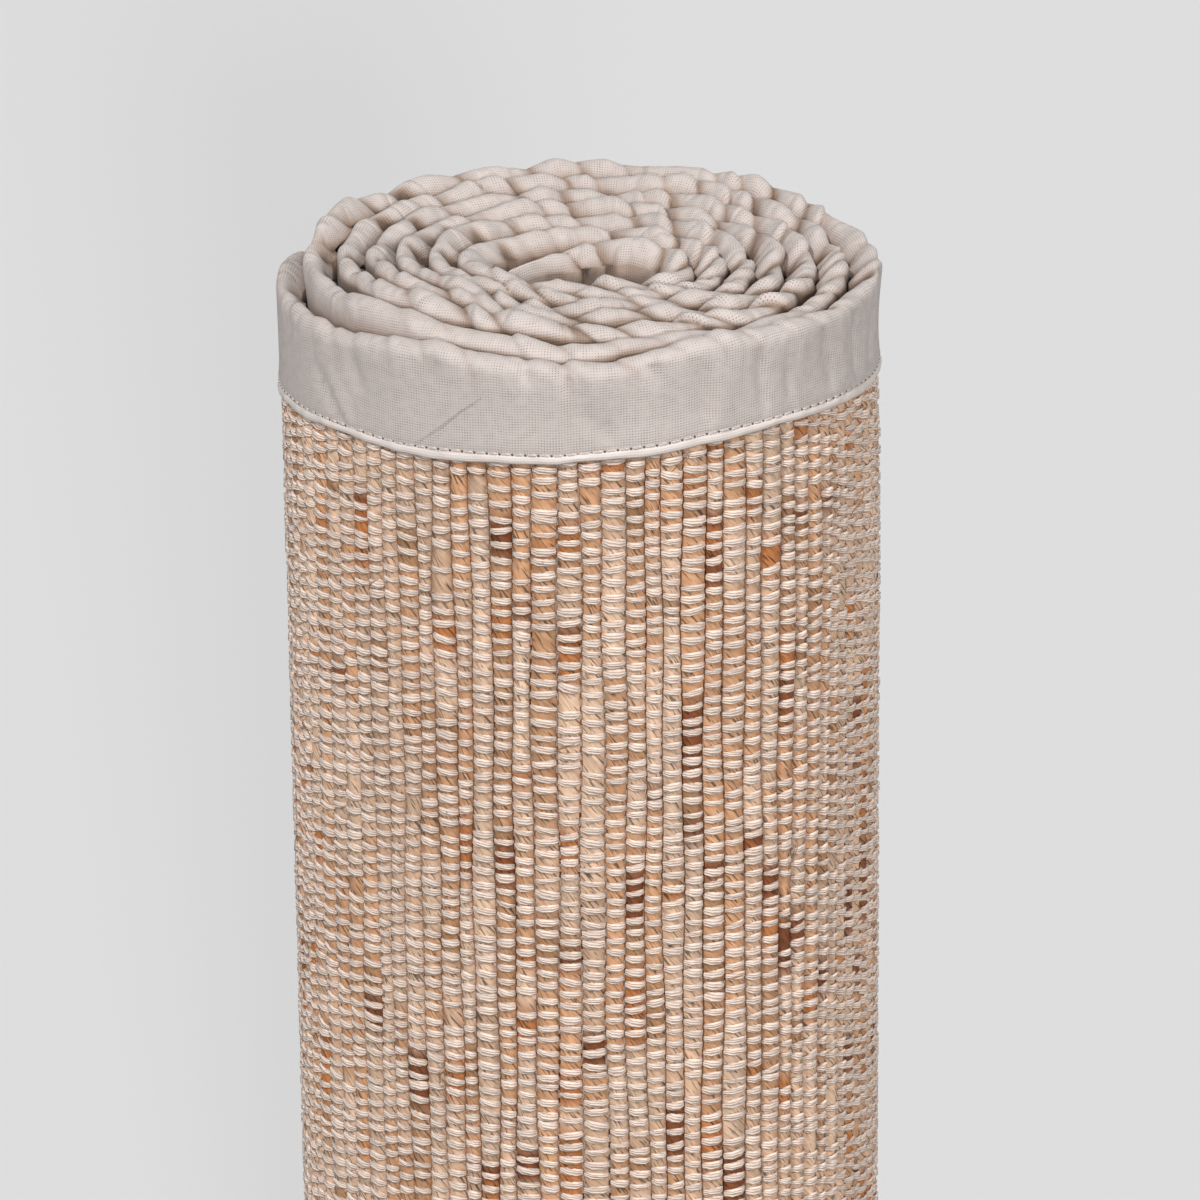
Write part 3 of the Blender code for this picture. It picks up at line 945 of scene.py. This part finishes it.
# Pockets on the inner side of the rims, where the squeezed cloth tucks in deeply: turns from
# the outer end, half-width and depth in mm.
POCKETS = (
    (0.075, 3.0, 0.7), (0.125, 2.2, 0.6), (0.925, 2.4, 1.6), (1.045, 2.2, 2.0), (1.085, 2.6, 2.5),
    (1.97, 2.2, 2.0), (2.07, 2.8, 2.4), (2.13, 1.8, 1.2), (2.96, 2.0, 1.8), (3.08, 2.2, 2.4),
    (3.95, 2.0, 2.0), (4.04, 1.8, 2.0), (4.12, 2.0, 1.4), (4.94, 1.8, 1.6), (5.05, 2.2, 2.2),
    (5.93, 1.8, 1.8), (0.47, 2.2, 1.8), (0.53, 2.4, 2.2), (1.50, 2.2, 2.4), (1.58, 2.0, 1.8),
    (2.49, 2.2, 2.4), (2.56, 1.8, 1.6), (3.52, 2.2, 2.4), (4.55, 2.0, 2.2), (5.50, 1.8, 1.8),
)


def pockets_at(distance):
    total = np.zeros_like(distance)
    for turns, half_width, depth in POCKETS:
        away = (distance - distance_at(turns)) / (half_width * MM)
        total += depth * MM * np.exp(-np.abs(away) ** 1.6)
    return total


def core_creases_at(distance):
    from_end = (MAT_LENGTH - distance) / MM
    return MM * sum(
        depth * np.exp(-np.abs((from_end - place) / half_width) ** 1.5)
        for place, half_width, depth in CORE_CREASES
    )


# The outline of the outer hem, a soft lip with the row of stitches sunk in above it: mm out from
# the mat's middle line, and mm above the hem's lower edge.
OUTER_HEM = (
    (2.0, 0.5), (2.8, 0.0), (3.08, 0.3), (3.2, 0.8), (3.18, 1.3), (3.05, 1.7), (2.84, 2.0),
    (2.74, 2.25), (2.86, 2.75), (2.98, 4.0),
)
WALL_ROWS = 5
RIM_ROWS = 13
INNER_ROWS = (7.5, 9.5, 12.5, 17.0)  # mm below the rim


def binding_points(distance, up, seed, puffed=1):
    """The binding's outline at each distance. Up is +1 for the rim and -1 for the foot."""
    rim = rim_level(distance) if up > 0 else np.zeros_like(distance)
    depth = hem_depth(distance)
    angle = angle_at(distance)
    pitch = np.hypot(PITCH_ACROSS * np.cos(angle), PITCH_DEEP * np.sin(angle))
    flap = np.clip((distance - distance_at(ROLL_TURNS)) / FLAP_SLIMS_OVER, 0, 1)
    slim = 1 - (1 - FLAP_RIM) * flap
    hidden = np.clip(turn_of(distance) * 8 - 8, 0, 1)
    fuller = RIM_FULLER * np.clip(np.cos(angle), 0, 1)
    inner_half = (RIM_FILL[1] + fuller) * pitch * slim
    outer_half = inner_half + (RIM_FILL[0] - RIM_FILL[1] - fuller) * pitch * slim * (1 - hidden)
    calm = calm_at(distance) * (1 - flap) * puffed
    meander = waves(distance, *MEANDER, seed)
    bob = waves(distance, *BOB, seed + 1)
    meander *= calm * np.clip(turn_of(distance) * 1.5, 0.2, 1)
    at_right = np.exp(-((np.degrees(angle) + 4) / 20) ** 2)
    at_right = at_right * np.clip(6 - turn_of(distance) * 6, 0, 1)
    meander += OUTER_OVERHANG * at_right
    inner_half = inner_half + 1.3 * OUTER_OVERHANG * at_right
    at_outer_end = np.clip(1 - distance / END_LENGTH, 0, 1) ** 2
    meander -= END_LEAN * at_outer_end
    if up < 0:
        meander, bob = meander * 0.3, bob * 0
    else:
        rim = rim + turn_lift(distance) - END_SINK * at_outer_end
        depth = depth + turn_lift(distance) - END_SINK * at_outer_end
    leftness = np.clip(-np.cos(angle), 0, 1) ** 2
    outer_share = 0.52 - 0.34 * leftness
    core_fold = core_creases_at(distance)
    pocket = pockets_at(distance) * (puffed if up > 0 else 0)
    # The crest lies to the outer side and the inner side slopes, but not at the front.
    behind = np.clip(1 + np.sin(angle) * 1.4, 0, 1)
    crest = CREST_SHIFT * behind * (1 - flap)
    # How far the rim stands over that of the next turn outwards.
    outer_turn = distance_at(np.maximum(turn_of(distance) - 1, 0))
    stands_over = np.clip(turn_lift(distance) - turn_lift(outer_turn), 0, 5 * MM)
    # The walls fill the room up to the next turns, where no mat shows.
    rim_only = max(up, 0)
    outer_wall = BINDING_OUT + (WALL_FILL[0] * pitch - BINDING_OUT) * hidden * rim_only
    inner_room = (WALL_FILL[1] * pitch - INNER_WALL) * leftness * (1 - flap)
    inner_wall = INNER_WALL + inner_room * rim_only
    columns = []

    def add(out, below, across, pucker_share, wrinkle_share):
        puff = puff_at(distance, across, seed + 2) + small_folds_at(distance, across, seed + 4)
        squeeze = -pucker_share * calm * puff * (1.0 - 0.26 * np.sin(angle))
        shallow = np.clip(1.6 - below / (5 * MM), 0, 1)
        squeeze += pocket * shallow * np.clip((across - 0.35) / 0.45, 0, 1)
        wrinkle = wrinkle_share * puffed * (
            creases_at(distance, below)
            - waves(distance, (0.038, 0.023), (0.16 * MM, 0.10 * MM), seed + 5)
        )
        columns.append((out, below, squeeze, wrinkle, across))

    hem_puff = waves(distance, *HEM_PUFF, seed + 8)
    hem_edge = waves(distance, *HEM_EDGE, seed + 9)
    for out, above in OUTER_HEM:
        share = 0.5 if above > 1.9 else 0.2
        puffed_out = out * MM + hem_puff * (0.25 < above < 1.9)
        add(puffed_out, depth - above * MM + hem_edge * (above < 1.5), 0.0, 0.0, share)
    wall_top = RIM_OUTER_HEIGHT + 1.5 * MM
    last = OUTER_HEM[-1][1] * MM
    for row in range(1, WALL_ROWS + 1):
        share = row / (WALL_ROWS + 1)
        below = (depth - last) * (1 - share) + wall_top * share
        swell = outer_wall + (outer_half - outer_wall) * share ** 2
        add(swell, below, 0.0, outer_share * share ** 3, 1.0)
    for row in range(RIM_ROWS):
        turn = math.pi * row / (RIM_ROWS - 1)
        half_width = inner_half if turn > math.pi / 2 else outer_half
        out = half_width * math.cos(turn) + inner_half * crest * math.sin(turn) ** 2
        if turn > math.pi / 2:
            tall = RIM_INNER_HEIGHT - BEHIND_SHORTER * behind
            bow = INNER_BOW[0] + INNER_BOW[1] * behind
        else:
            tall, bow = RIM_OUTER_HEIGHT, OUTER_BOW
        below = tall * (1 - math.sin(turn) ** bow) + 0 * distance
        across = row / (RIM_ROWS - 1)
        share = outer_share + (1 - outer_share) * across ** (1.1 + 1.3 * leftness)
        add(out + core_fold * max(across - 0.4, 0), below, across, share, 1 - across)
    for below in INNER_ROWS:
        share = 0.9 - 0.4 * below / INNER_ROWS[-1]
        settle = min((below - INNER_ROWS[0]) / 4, 1)
        out = -(inner_half * (1 - settle) + inner_wall * settle)
        add(out + core_fold * share, below * MM + 0 * distance, 1.0, share, 0.4)
    add(-np.full_like(distance, INNER_WALL), depth - 0.3 * MM, 1.0, 0.3, 0.2)

    # Painted shade, returned as folds and kept as the "fold" attribute: the cloth's colour is
    # darker down the rim's inner and outer sides below the rim, less so in the core, and in the
    # puckers' valleys.
    in_core = np.clip((turn_of(distance) - 5.8) * 5, 0, 1)
    inner_shade_depth, outer_shade_depth = [
        (depth_at_sides - less * np.abs(np.sin(angle))) * MM
        for depth_at_sides, less in (INNER_PAINTED_SHADE, OUTER_PAINTED_SHADE)
    ]
    folds, rumples = [], []
    to_end = np.minimum(distance, MAT_LENGTH - distance) / END_ROUNDING
    nose = np.sqrt(np.clip(1 - (1 - np.clip(to_end, 0, 1)) ** 2, 0, 1))
    points = []
    for out, below, squeeze, wrinkle, across in columns:
        lean = np.cos(across * math.pi) if 0 < across < 1 else (1.0 if across == 0 else -1.0)
        rise = np.sin(across * math.pi) if 0 < across < 1 else 0.0
        inwards = squeeze + wrinkle
        shift = meander * np.clip(1 - below / (14 * MM), 0, 1)
        offset = (out + shift - lean * np.maximum(inwards, -PUFF_LIMIT)) * nose
        near_rim = np.clip(1 - below / (10 * MM), 0, 1)
        height = below - (bob - END_DROP * (1 - nose)) * near_rim + rise * inwards
        height = rim - height if up > 0 else np.maximum(height - 0.6 * MM, 0)
        points.append(in_roll(distance, offset, height))
        down = np.maximum(below, 0)
        if across > 0.5:
            shade = np.minimum((down / inner_shade_depth) ** 1.8, 1) * (across - 0.5) * 2
            shade = 0.9 * shade * (1 - 0.5 * in_core)
        else:
            down = np.maximum(down - stands_over, 0)
            shade = np.minimum((down / outer_shade_depth) ** 2.2, 1) * (1 - across)
            shade = shade * np.clip((turn_of(distance) - 0.95) * 3, 0, 1)
        # Painted shade in the puckers' valleys, darker where the cloth is squeezed in further.
        painted_valley_shade = 0.95 * np.clip(squeeze / (1.3 * MM), 0, 1) ** 1.7
        folds.append(np.clip(painted_valley_shade + shade, 0, 1))
        on_rim = np.clip(1.2 - below / (7 * MM), 0.10, 1)
        rumples.append(on_rim * (0.2 + 0.8 * calm) + 0 * distance)
    return [np.stack(rows, axis=1) for rows in (points, folds, rumples)]


def cloth_uv(distance, points):
    """UV in metres: along the strip, and round its outline from the hem."""
    steps = np.linalg.norm(np.diff(points, axis=1), axis=2)
    round_it = np.hstack((np.zeros((len(points), 1)), np.cumsum(steps, axis=1)))
    return np.stack((np.broadcast_to(distance[:, None], round_it.shape), round_it), axis=-1)


def binding_mesh(name, up, seed):
    step = BINDING_STEP if up > 0 else 4 * BINDING_STEP
    distance = np.linspace(0, MAT_LENGTH, int(MAT_LENGTH / step))
    points, folds, rumples = binding_points(distance, up, seed)
    uv = cloth_uv(distance, binding_points(distance, up, seed, puffed=0)[0])
    if up > 0:
        points, uv, folds, rumples = [rows[:, ::-1] for rows in (points, uv, folds, rumples)]
    mesh = grid_mesh(name, points, uv)
    # The "fold" attribute is painted shade for the cloth's colour; "rumple" sets the crumples'
    # bump.
    for label, values in (("fold", folds), ("rumple", rumples)):
        layer = mesh.attributes.new(label, "FLOAT", "POINT")
        layer.data.foreach_set("value", values.astype(np.float32).ravel())
    return mesh


def binding_material():
    """Undyed plain-weave cotton sheeting, matt cream-white: a faint weave with pinholes where
    the threads cross, a few slubs, and painted shade, darker and warmer, in the puckers' valleys,
    down the rims' sides between the turns and in the core."""
    material, tree, shader = new_material("cotton_sheeting")
    place = uv_place(tree)
    # The real weave has 2.5 threads a millimetre; it is drawn at 1.6, so that it shows.
    threads = scaled(tree, place, math.tau / THREAD_DRAWN)
    waves_xy = add_node(tree, "ShaderNodeVectorMath", {"operation": "SINE"}, i0=threads)
    hole = maths(tree, "ADD", *split_up(tree, waves_xy.outputs[0]))
    uneven = noise(tree, place, 420.0, Detail=2.0, Roughness=0.6)
    weave = maths(tree, "MULTIPLY", hole, uneven)
    pin = spread(tree, weave, 0.45, 1.05, 0.0, 1.0)
    ground = blend(tree, noise(tree, place, 60.0, Detail=3.0), "#D1C5BF", "#DDD2CC")
    cloth = blend(tree, pin, ground, "#8E837C")
    # The turned-in hem is four layers thick, so it is less see-through and paler.
    up = split_up(tree, place)[1]
    on_hem = spread(tree, up, HEM_PALE_TO, HEM_PALE_TO + 0.5 * MM, 0.85, 0.0)
    cloth = blend(tree, on_hem, cloth, "#EFE4DD")
    # Painted shade: the "fold" attribute multiplies the cloth from white down to a dark olive-brown
    # in the puckers' valleys, down the rims' sides between the turns and in the core.
    fold = attribute(tree, "fold").outputs["Fac"]
    painted_shade_ramp = add_node(tree, "ShaderNodeValToRGB", Fac=fold)
    painted_shade_ramp.color_ramp.elements[0].color = colour("#FFFFFF")
    painted_shade_ramp.color_ramp.elements[1].color = colour("#887461")
    painted_shade_ramp.color_ramp.elements.new(0.45).color = colour("#CBBCB0")
    cloth = blend(tree, 1.0, cloth, painted_shade_ramp.outputs["Color"], "MULTIPLY")
    feed(tree, shader.inputs["Base Color"], cloth)
    # Crumples: thin creases that wind askew over the rim, as in a rope's lay.
    crumple_place = add_node(
        tree,
        "ShaderNodeMapping",
        {"Rotation": (0, 0, math.radians(-40)), "Scale": (150, 70, 1)},
        Vector=place,
    ).outputs[0]
    crumple = noise(tree, crumple_place, 1.0, Detail=1.0, Roughness=0.4, Distortion=0.6)
    crease = maths(tree, "ABSOLUTE", maths(tree, "SUBTRACT", crumple, 0.5))
    crease = maths(tree, "MULTIPLY", crease, attribute(tree, "rumple").outputs["Fac"])
    crumpled = bump(tree, crease, 0.8, 2.6 * MM)
    feed(tree, shader.inputs["Normal"], bump(tree, weave, 0.3, 0.12 * MM, Normal=crumpled))
    feed(tree, shader.inputs["Roughness"], 0.92)
    feed(tree, shader.inputs["Sheen Weight"], 0.15)
    return material


cotton = binding_material()
rim_binding = place_mesh("binding_rim", binding_mesh("binding_rim", 1, 61), cotton)
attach(rim_binding, "root")
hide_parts("binding_top")
foot_binding = place_mesh("binding_base", binding_mesh("binding_base", -1, 83), cotton)
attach(foot_binding, "root")
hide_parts("binding_foot")


# The strips on the two short ends, of the same sheeting, folded over the cut ends of the cords
# and sewn from the base binding up to the rim binding. The outer one lies against the roll at
# the back left, the inner one is the end of the loose flap in the core.

STRIP_OUT = 2.95 * MM
STRIP_SEAM = 12.5 * MM
STRIP_TUCK = 3 * MM
STRIP_STEP = 2.5 * MM
STRIP_PUFF = ((0.031, 0.018), (0.22 * MM, 0.12 * MM))  # wave lengths and heights
STRIP_EDGE = ((0.083, 0.029), (0.35 * MM, 0.20 * MM))
STRIP_OUTLINE = (
    # mm from the mat's end, mm out as a share of the strip's half thickness
    (15.0, 0.80), (15.3, 0.98), (14.8, 1.12), (13.9, 1.12), (13.0, 1.00), (12.5, 0.97),
    (12.0, 1.01), (10.0, 1.03), (8.0, 1.02), (6.0, 1.03), (4.0, 1.00), (2.2, 0.90),
    (0.9, 0.62), (0.25, 0.25), (0.25, -0.25), (0.9, -0.62), (2.2, -0.86), (4.0, -0.92),
    (10.0, -0.92), (15.0, -0.92),
)


def strip_mesh(name, from_end, seed):
    """From_end turns mm from the mat's end into a distance along the mat."""
    lowest = hem_depth(np.array((from_end(0.0),)))[0]
    highest = MAT_WIDTH - lowest
    height = np.arange(lowest - STRIP_TUCK, highest + STRIP_TUCK, STRIP_STEP)
    rows = []
    for from_edge, share in STRIP_OUTLINE:
        puff = waves(height + from_edge * MM, *STRIP_PUFF, seed)
        edge = waves(height, *STRIP_EDGE, seed + 1)
        distance = from_end(from_edge * MM + edge * min(from_edge / 6, 1))
        rows.append(in_roll(distance, STRIP_OUT * share + puff * np.sign(share), height))
    points = np.stack(rows, axis=1)
    if from_end(0.0) > 0:
        points = points[:, ::-1]
    return grid_mesh(name, points, cloth_uv(height, points))


for name, node, seed, from_end in (
    ("outer_end_strip", "binding_outer_end", 211, lambda along: along + 0.0),
    ("inner_end_strip", "binding_inner_end", 223, lambda along: MAT_LENGTH - along),
):
    end_strip = place_mesh(name, strip_mesh(name, from_end, seed), cotton)
    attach(end_strip, "root")
    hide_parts(node)


# The sewing. One row of straight machine stitches in undyed thread, 2.8 mm long, holds down each
# hem just above its puffed edge. Every stitch is a short bar that sinks in at both ends.

STITCH_LENGTH = 2.8 * MM
STITCH_THICKNESS = 0.62 * MM
STITCH_GAP = 0.25  # of a stitch's length
STITCH_OUT = 2.78 * MM
STITCH_RINGS = ((-0.5, 0.35), (-0.36, 0.95), (0.0, 1.0), (0.36, 0.95), (0.5, 0.35))
STITCH_SIDES = 6
HOLE_WIDTH = 0.62 * MM
SEWN_FROM = 6 * MM
SEWN_TO_TURN = 1.12  # just past where the outermost turn covers the row


def stitch_shape():
    """A stitch of unit length along X, with its thickness in Y and Z."""
    count = len(STITCH_RINGS)
    points = []
    faces, uvs = tube_sides([ring / (count - 1) for ring in range(count)], STITCH_SIDES)
    for along, swell in STITCH_RINGS:
        for side in range(STITCH_SIDES):
            turn = side / STITCH_SIDES * math.tau
            dip = 0.5 * (1 - swell)
            out = -0.5 * swell * math.cos(turn) + dip
            points.append((along, out, 0.5 * swell * math.sin(turn)))
    last = (count - 1) * STITCH_SIDES
    faces.append(tuple(range(STITCH_SIDES))[::-1])
    faces.append(tuple(last + side for side in range(STITCH_SIDES)))
    uvs += [(0.0, 0.5)] * STITCH_SIDES + [(1.0, 0.5)] * STITCH_SIDES
    return mesh_of("stitch", points, faces, uvs)


def sewing_thread_material():
    """Mercerised cotton sewing thread, close to the cloth's tone, with a faint sheen and the
    fine slant of its twist."""
    material, tree, shader = new_material("sewing_thread")
    twist = add_node(
        tree,
        "ShaderNodeTexWave",
        {"Scale": 1.1, "Distortion": 1.0, "bands_direction": "DIAGONAL"},
        Vector=uv_place(tree),
    ).outputs["Fac"]
    feed(tree, shader.inputs["Base Color"], blend(tree, twist, "#BDB0A9", "#DFD4CE"))
    feed(tree, shader.inputs["Roughness"], 0.6)
    return material


def sew(name, points, turned):
    """A row of stitches, each at its own point, a little uneven in slant and length."""
    draw = np.random.default_rng(len(points))
    count = len(points)
    stretch = np.stack(
        (
            STITCH_LENGTH * (1 - STITCH_GAP) * draw.normal(1, 0.05, count),
            np.full(count, STITCH_THICKNESS),
            STITCH_THICKNESS * draw.normal(1, 0.06, count),
        ),
        axis=1,
    )
    turned = turned + draw.normal(0, math.radians(3), (count, 1)) * np.array(((0, 1, 0),))
    piece = scatter(
        name, stitch_tree, stitch_object, points, turned, stretch,
        draw.uniform(0.4, 0.9, count), sewing_thread,
    )
    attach(piece, "root")


def needle_hole_material():
    """The shadow inside a needle hole: matt grey-brown, mottled by the cut threads' fluff."""
    material, tree, shader = new_material("needle_hole")
    fluff = noise(tree, add_node(tree, "ShaderNodeTexCoord").outputs["Object"], 4000.0)
    feed(tree, shader.inputs["Base Color"], blend(tree, fluff, "#5E5048", "#7C6E66"))
    feed(tree, shader.inputs["Roughness"], 1.0)
    return material


def hole_shape():
    """A shallow round dimple of unit width, seen from -Y."""
    turns = np.arange(8) / 8 * math.tau
    points = [(0.5 * math.cos(turn), -0.02, 0.5 * math.sin(turn)) for turn in turns]
    points.append((0.0, 0.1, 0.0))
    mesh = bpy.data.meshes.new("needle_hole")
    mesh.from_pydata(points, [], [(side, (side + 1) % 8, 8) for side in range(8)])
    return mesh


sewing_thread = sewing_thread_material()
stitch_tree = scatter_tree("stitches_in_a_row")
stitch_object = bpy.data.objects.new("stitch_object", stitch_shape())
sewn = np.arange(SEWN_FROM, distance_at(SEWN_TO_TURN), STITCH_LENGTH)
heading_x, heading_y = plan_heading(sewn)
heading = np.arctan2(heading_y, heading_x)
rim_stitch_height = rim_level(sewn) - hem_depth(sewn) + STITCH_LINE
slope = np.arctan(np.gradient(rim_stitch_height, sewn))
sew(
    "rim_stitches",
    in_roll(sewn, STITCH_OUT, rim_stitch_height),
    np.stack((0 * slope, -slope, heading), axis=1),
)
holes = sewn + 0.5 * STITCH_LENGTH
hole_object = bpy.data.objects.new("hole_object", hole_shape())
needle_holes = scatter(
    "needle_holes", stitch_tree, hole_object,
    in_roll(holes, STITCH_OUT + 0.12 * MM, np.interp(holes, sewn, rim_stitch_height)),
    np.stack((0 * heading, 0 * heading, heading), axis=1),
    np.full((len(holes), 3), HOLE_WIDTH),
    np.zeros(len(holes)), needle_hole_material(),
)
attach(needle_holes, "root")
bpy.data.objects.remove(hole_object)
base_stitch_height = hem_depth(sewn) - STITCH_LINE
sew(
    "base_stitches",
    in_roll(sewn, STITCH_OUT, base_stitch_height),
    np.stack((0 * slope, slope, heading), axis=1),
)
sewn_up = np.arange(hem_depth(np.array((0.0,)))[0], MAT_WIDTH - 24 * MM, STITCH_LENGTH)
strip_heading = np.arctan2(*[float(value) for value in plan_heading(STRIP_SEAM)][::-1])
sew(
    "strip_stitches",
    in_roll(np.full_like(sewn_up, STRIP_SEAM), STRIP_OUT + 0.02 * MM, sewn_up),
    np.broadcast_to((0.0, math.pi / 2, strip_heading), (len(sewn_up), 3)),
)
bpy.data.objects.remove(stitch_object)


# Loose ends. A few banana fibres have come out of the cords and stand or curl off the cloth, one
# cut end of sewing thread lies on the binding, and a speck of bark sits in the sheeting.

FIBRE_RADIUS = 0.16 * MM
HAIR_RADIUS = 0.06 * MM
# Degrees round the roll, mm below the top, length and how far it stands off in mm, lean in degrees.
LOOSE_FIBRES = (
    (-73.8, 27.0, 7, 2.6, 60), (-158, 106, 6, 1.8, 85), (-121.5, 180, 9, 3.2, 70),
    (-29, 127, 8, 3.0, 20), (-48, 131, 10, 1.6, 80), (-27, 52, 9, 2.4, 75),
    (-97, 93, 6, 1.4, 40), (-136, 61, 7, 1.6, 55), (-64, 154, 6, 1.5, 30),
    (-88, 214, 8, 1.8, 65), (20, 90, 8, 2.0, 70), (65, 150, 7, 1.8, 50),
    (110, 240, 9, 2.2, 60), (150, 330, 8, 2.0, 40), (-110, 400, 8, 2.0, 70),
)
LOOSE_THREAD = ((-123.5, 22.0), (-118.4, 17.2), (-114, 12.6), (-109.7, 8.6))
SPECK = (-87.6, 8.2, 0.28 * MM)  # degrees, mm below the top, radius


def distance_round(degrees):
    """The distance along the outer turn at an angle round the roll."""
    turn = (math.radians(degrees) - OUTER_END_ANGLE) / math.tau
    return distance_at(turn % 1.0)


def strand_mesh(name, paths, radius):
    """Square-sided strands along rows of points, thinner towards both ends."""
    points, faces, uvs = [], [], []
    for path in paths:
        heading = np.gradient(path, axis=0)
        heading /= np.linalg.norm(heading, axis=1)[:, None]
        side = np.cross(heading, (0.31, 0.17, 0.93))
        side /= np.linalg.norm(side, axis=1)[:, None]
        other = np.cross(heading, side)
        start, count = len(points), len(path)
        for row in range(count):
            thin = radius * (0.35 + 0.65 * math.sin(math.pi * (row + 0.5) / count))
            for across, along in ((1, 0), (0, 1), (-1, 0), (0, -1)):
                points.append(path[row] + thin * (across * side[row] + along * other[row]))
        for row in range(count - 1):
            for corner in range(4):
                first, after = start + row * 4, (corner + 1) % 4
                faces.append((first + corner, first + after, first + 4 + after, first + 4 + corner))
                near, far, v = corner / 4, (corner + 1) / 4, row / count
                uvs += [(near, v), (far, v), (far, v + 1 / count), (near, v + 1 / count)]
        last = start + 4 * (count - 1)
        faces += [(start + 3, start + 2, start + 1, start), (last, last + 1, last + 2, last + 3)]
        uvs += [(0.5, 0.0)] * 4 + [(0.5, 1.0)] * 4
    return mesh_of(name, [tuple(point) for point in points], faces, uvs)


def fibre_material(name, light, dark):
    """One loose strand: slightly glossy, mottled from light to dark along its length."""
    material, tree, shader = new_material(name)
    mottle = noise(tree, uv_place(tree), 6.0, Detail=2.0)
    feed(tree, shader.inputs["Base Color"], blend(tree, mottle, dark, light))
    feed(tree, shader.inputs["Roughness"], 0.6)
    return material


fibre_paths = []
for place, (degrees, below, length, stand, lean) in enumerate(LOOSE_FIBRES):
    t = np.linspace(0, 1, 7)
    lean = math.radians(lean)
    along = distance_round(degrees) + length * MM * t * math.cos(lean)
    up = MAT_WIDTH - below * MM + length * MM * (t * math.sin(lean) - 0.25 * t * t)
    out = 2.3 * MM + stand * MM * np.sin(t * 2.2) ** 1.5
    fibre_paths.append(in_roll(along, out, up))
hair_degrees, hair_below = np.array(LOOSE_THREAD).T
hair_along = np.interp(
    np.linspace(0, 3, 13), range(4), [distance_round(degrees) for degrees in hair_degrees]
)
hair_up = MAT_WIDTH - np.interp(np.linspace(0, 3, 13), range(4), hair_below) * MM
hair_path = in_roll(hair_along, 3.35 * MM + waves(hair_along, (0.011,), (0.05 * MM,), 5), hair_up)
speck_angle, speck_below, speck_radius = SPECK
speck_along = distance_round(speck_angle) + np.linspace(-1, 1, 4) * speck_radius
speck_path = in_roll(speck_along, 3.25 * MM, MAT_WIDTH - speck_below * MM)
banana_strand = fibre_material("loose_banana_fibre", "#D39A62", "#7A4A28")
thread_end = fibre_material("loose_thread_end", "#B7ABA3", "#8E8279")
bark = fibre_material("speck_of_bark", "#4A3D35", "#2E2620")
for name, paths, radius, material in (
    ("loose_fibres", fibre_paths, FIBRE_RADIUS, banana_strand),
    ("loose_thread", [hair_path], HAIR_RADIUS, thread_end),
    ("bark_speck", [speck_path], speck_radius, bark),
):
    piece = place_mesh(name, strand_mesh(name, paths, radius), material)
    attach(piece, "root")


# The light, floor and camera. Pale paper floor and a soft studio: a key light from the front left
# and above, a low one in front, broad ones at both sides and a weak one behind. The camera stands
# at the photo's angle, 20.5 degrees above the top, where the roll's sides converge as shown.

FRAME_PIXELS = 1200
TOP_PIXELS_PER_METRE = 4410
TOP_AT_PIXEL = (579.5, 268)
CAMERA_DISTANCE = 1.77
CAMERA_ELEVATION = math.radians(20.5)
CAMERA_ROLL = math.radians(0.66)
SENSOR_WIDTH = 36  # mm, like the lens
FLOOR_HALF_WIDTH = 6.0
SUN_STANDS = 3  # metres from the roll; only its direction counts
# Each sun: degrees to the right and up as seen from the roll, degrees wide, power.
SUNS = {
    "key": (-30, 50, 7, 1.64),
    "low_front": (4, 16, 6, 1.02),
    "left": (-65, 30, 30, 0.34),
    "right": (62, 26, 30, 1.12),
    "back": (170, 24, 20, 0.35),
}


def place_camera():
    focal = TOP_PIXELS_PER_METRE * CAMERA_DISTANCE
    top = Vector((0, 0, MAT_WIDTH - RIM_DROP))
    back = Vector((0, -math.cos(CAMERA_ELEVATION), math.sin(CAMERA_ELEVATION)))
    pitch = CAMERA_ELEVATION + math.atan((FRAME_PIXELS / 2 - TOP_AT_PIXEL[1]) / focal)
    yaw = math.atan((FRAME_PIXELS / 2 - TOP_AT_PIXEL[0]) / focal)
    data = bpy.data.cameras.new("camera")
    data.sensor_width = SENSOR_WIDTH
    data.lens = focal / FRAME_PIXELS * data.sensor_width
    item = bpy.data.objects.new("camera", data)
    item.matrix_world = (
        Matrix.Translation(top + back * CAMERA_DISTANCE)
        @ Matrix.Rotation(-yaw, 4, "Z")
        @ Matrix.Rotation(math.pi / 2 - pitch, 4, "X")
        @ Matrix.Rotation(-CAMERA_ROLL, 4, "Z")
    )
    bpy.context.collection.objects.link(item)
    bpy.context.scene.camera = item


def sunlight(name, degrees_right, degrees_up, degrees_wide, power):
    """A broad soft light from far off, placed by where it stands as seen from the roll."""
    data = bpy.data.lights.new(name, "SUN")
    data.angle = math.radians(degrees_wide)
    data.energy = power
    item = bpy.data.objects.new(name, data)
    right, up = math.radians(degrees_right), math.radians(degrees_up)
    place = Vector((math.sin(right) * math.cos(up), -math.cos(right) * math.cos(up), math.sin(up)))
    item.location = place * SUN_STANDS
    item.rotation_euler = (-place).to_track_quat("-Z", "Y").to_euler()
    bpy.context.collection.objects.link(item)


def paper_floor():
    half = FLOOR_HALF_WIDTH
    mesh = bpy.data.meshes.new("floor")
    corners = [(-half, -half, 0), (half, -half, 0), (half, half, 0), (-half, half, 0)]
    mesh.from_pydata(corners, [], [(0, 1, 2, 3)])
    material, tree, shader = new_material("pale_paper")
    feed(tree, shader.inputs["Base Color"], "#EAEAEA")
    feed(tree, shader.inputs["Roughness"], 0.95)
    item = place_mesh("floor", mesh, material)
    item.visible_diffuse = False


paper_floor()
place_camera()
for name, sun in SUNS.items():
    sunlight(name, *sun)
world = bpy.data.worlds.new("studio")
world.use_nodes = True
sky = world.node_tree.nodes["Background"]
feed(world.node_tree, sky.inputs["Color"], "#FFFFFF")
feed(world.node_tree, sky.inputs["Strength"], 0.14)
bpy.context.scene.world = world
bpy.context.scene.view_settings.view_transform = "Standard"
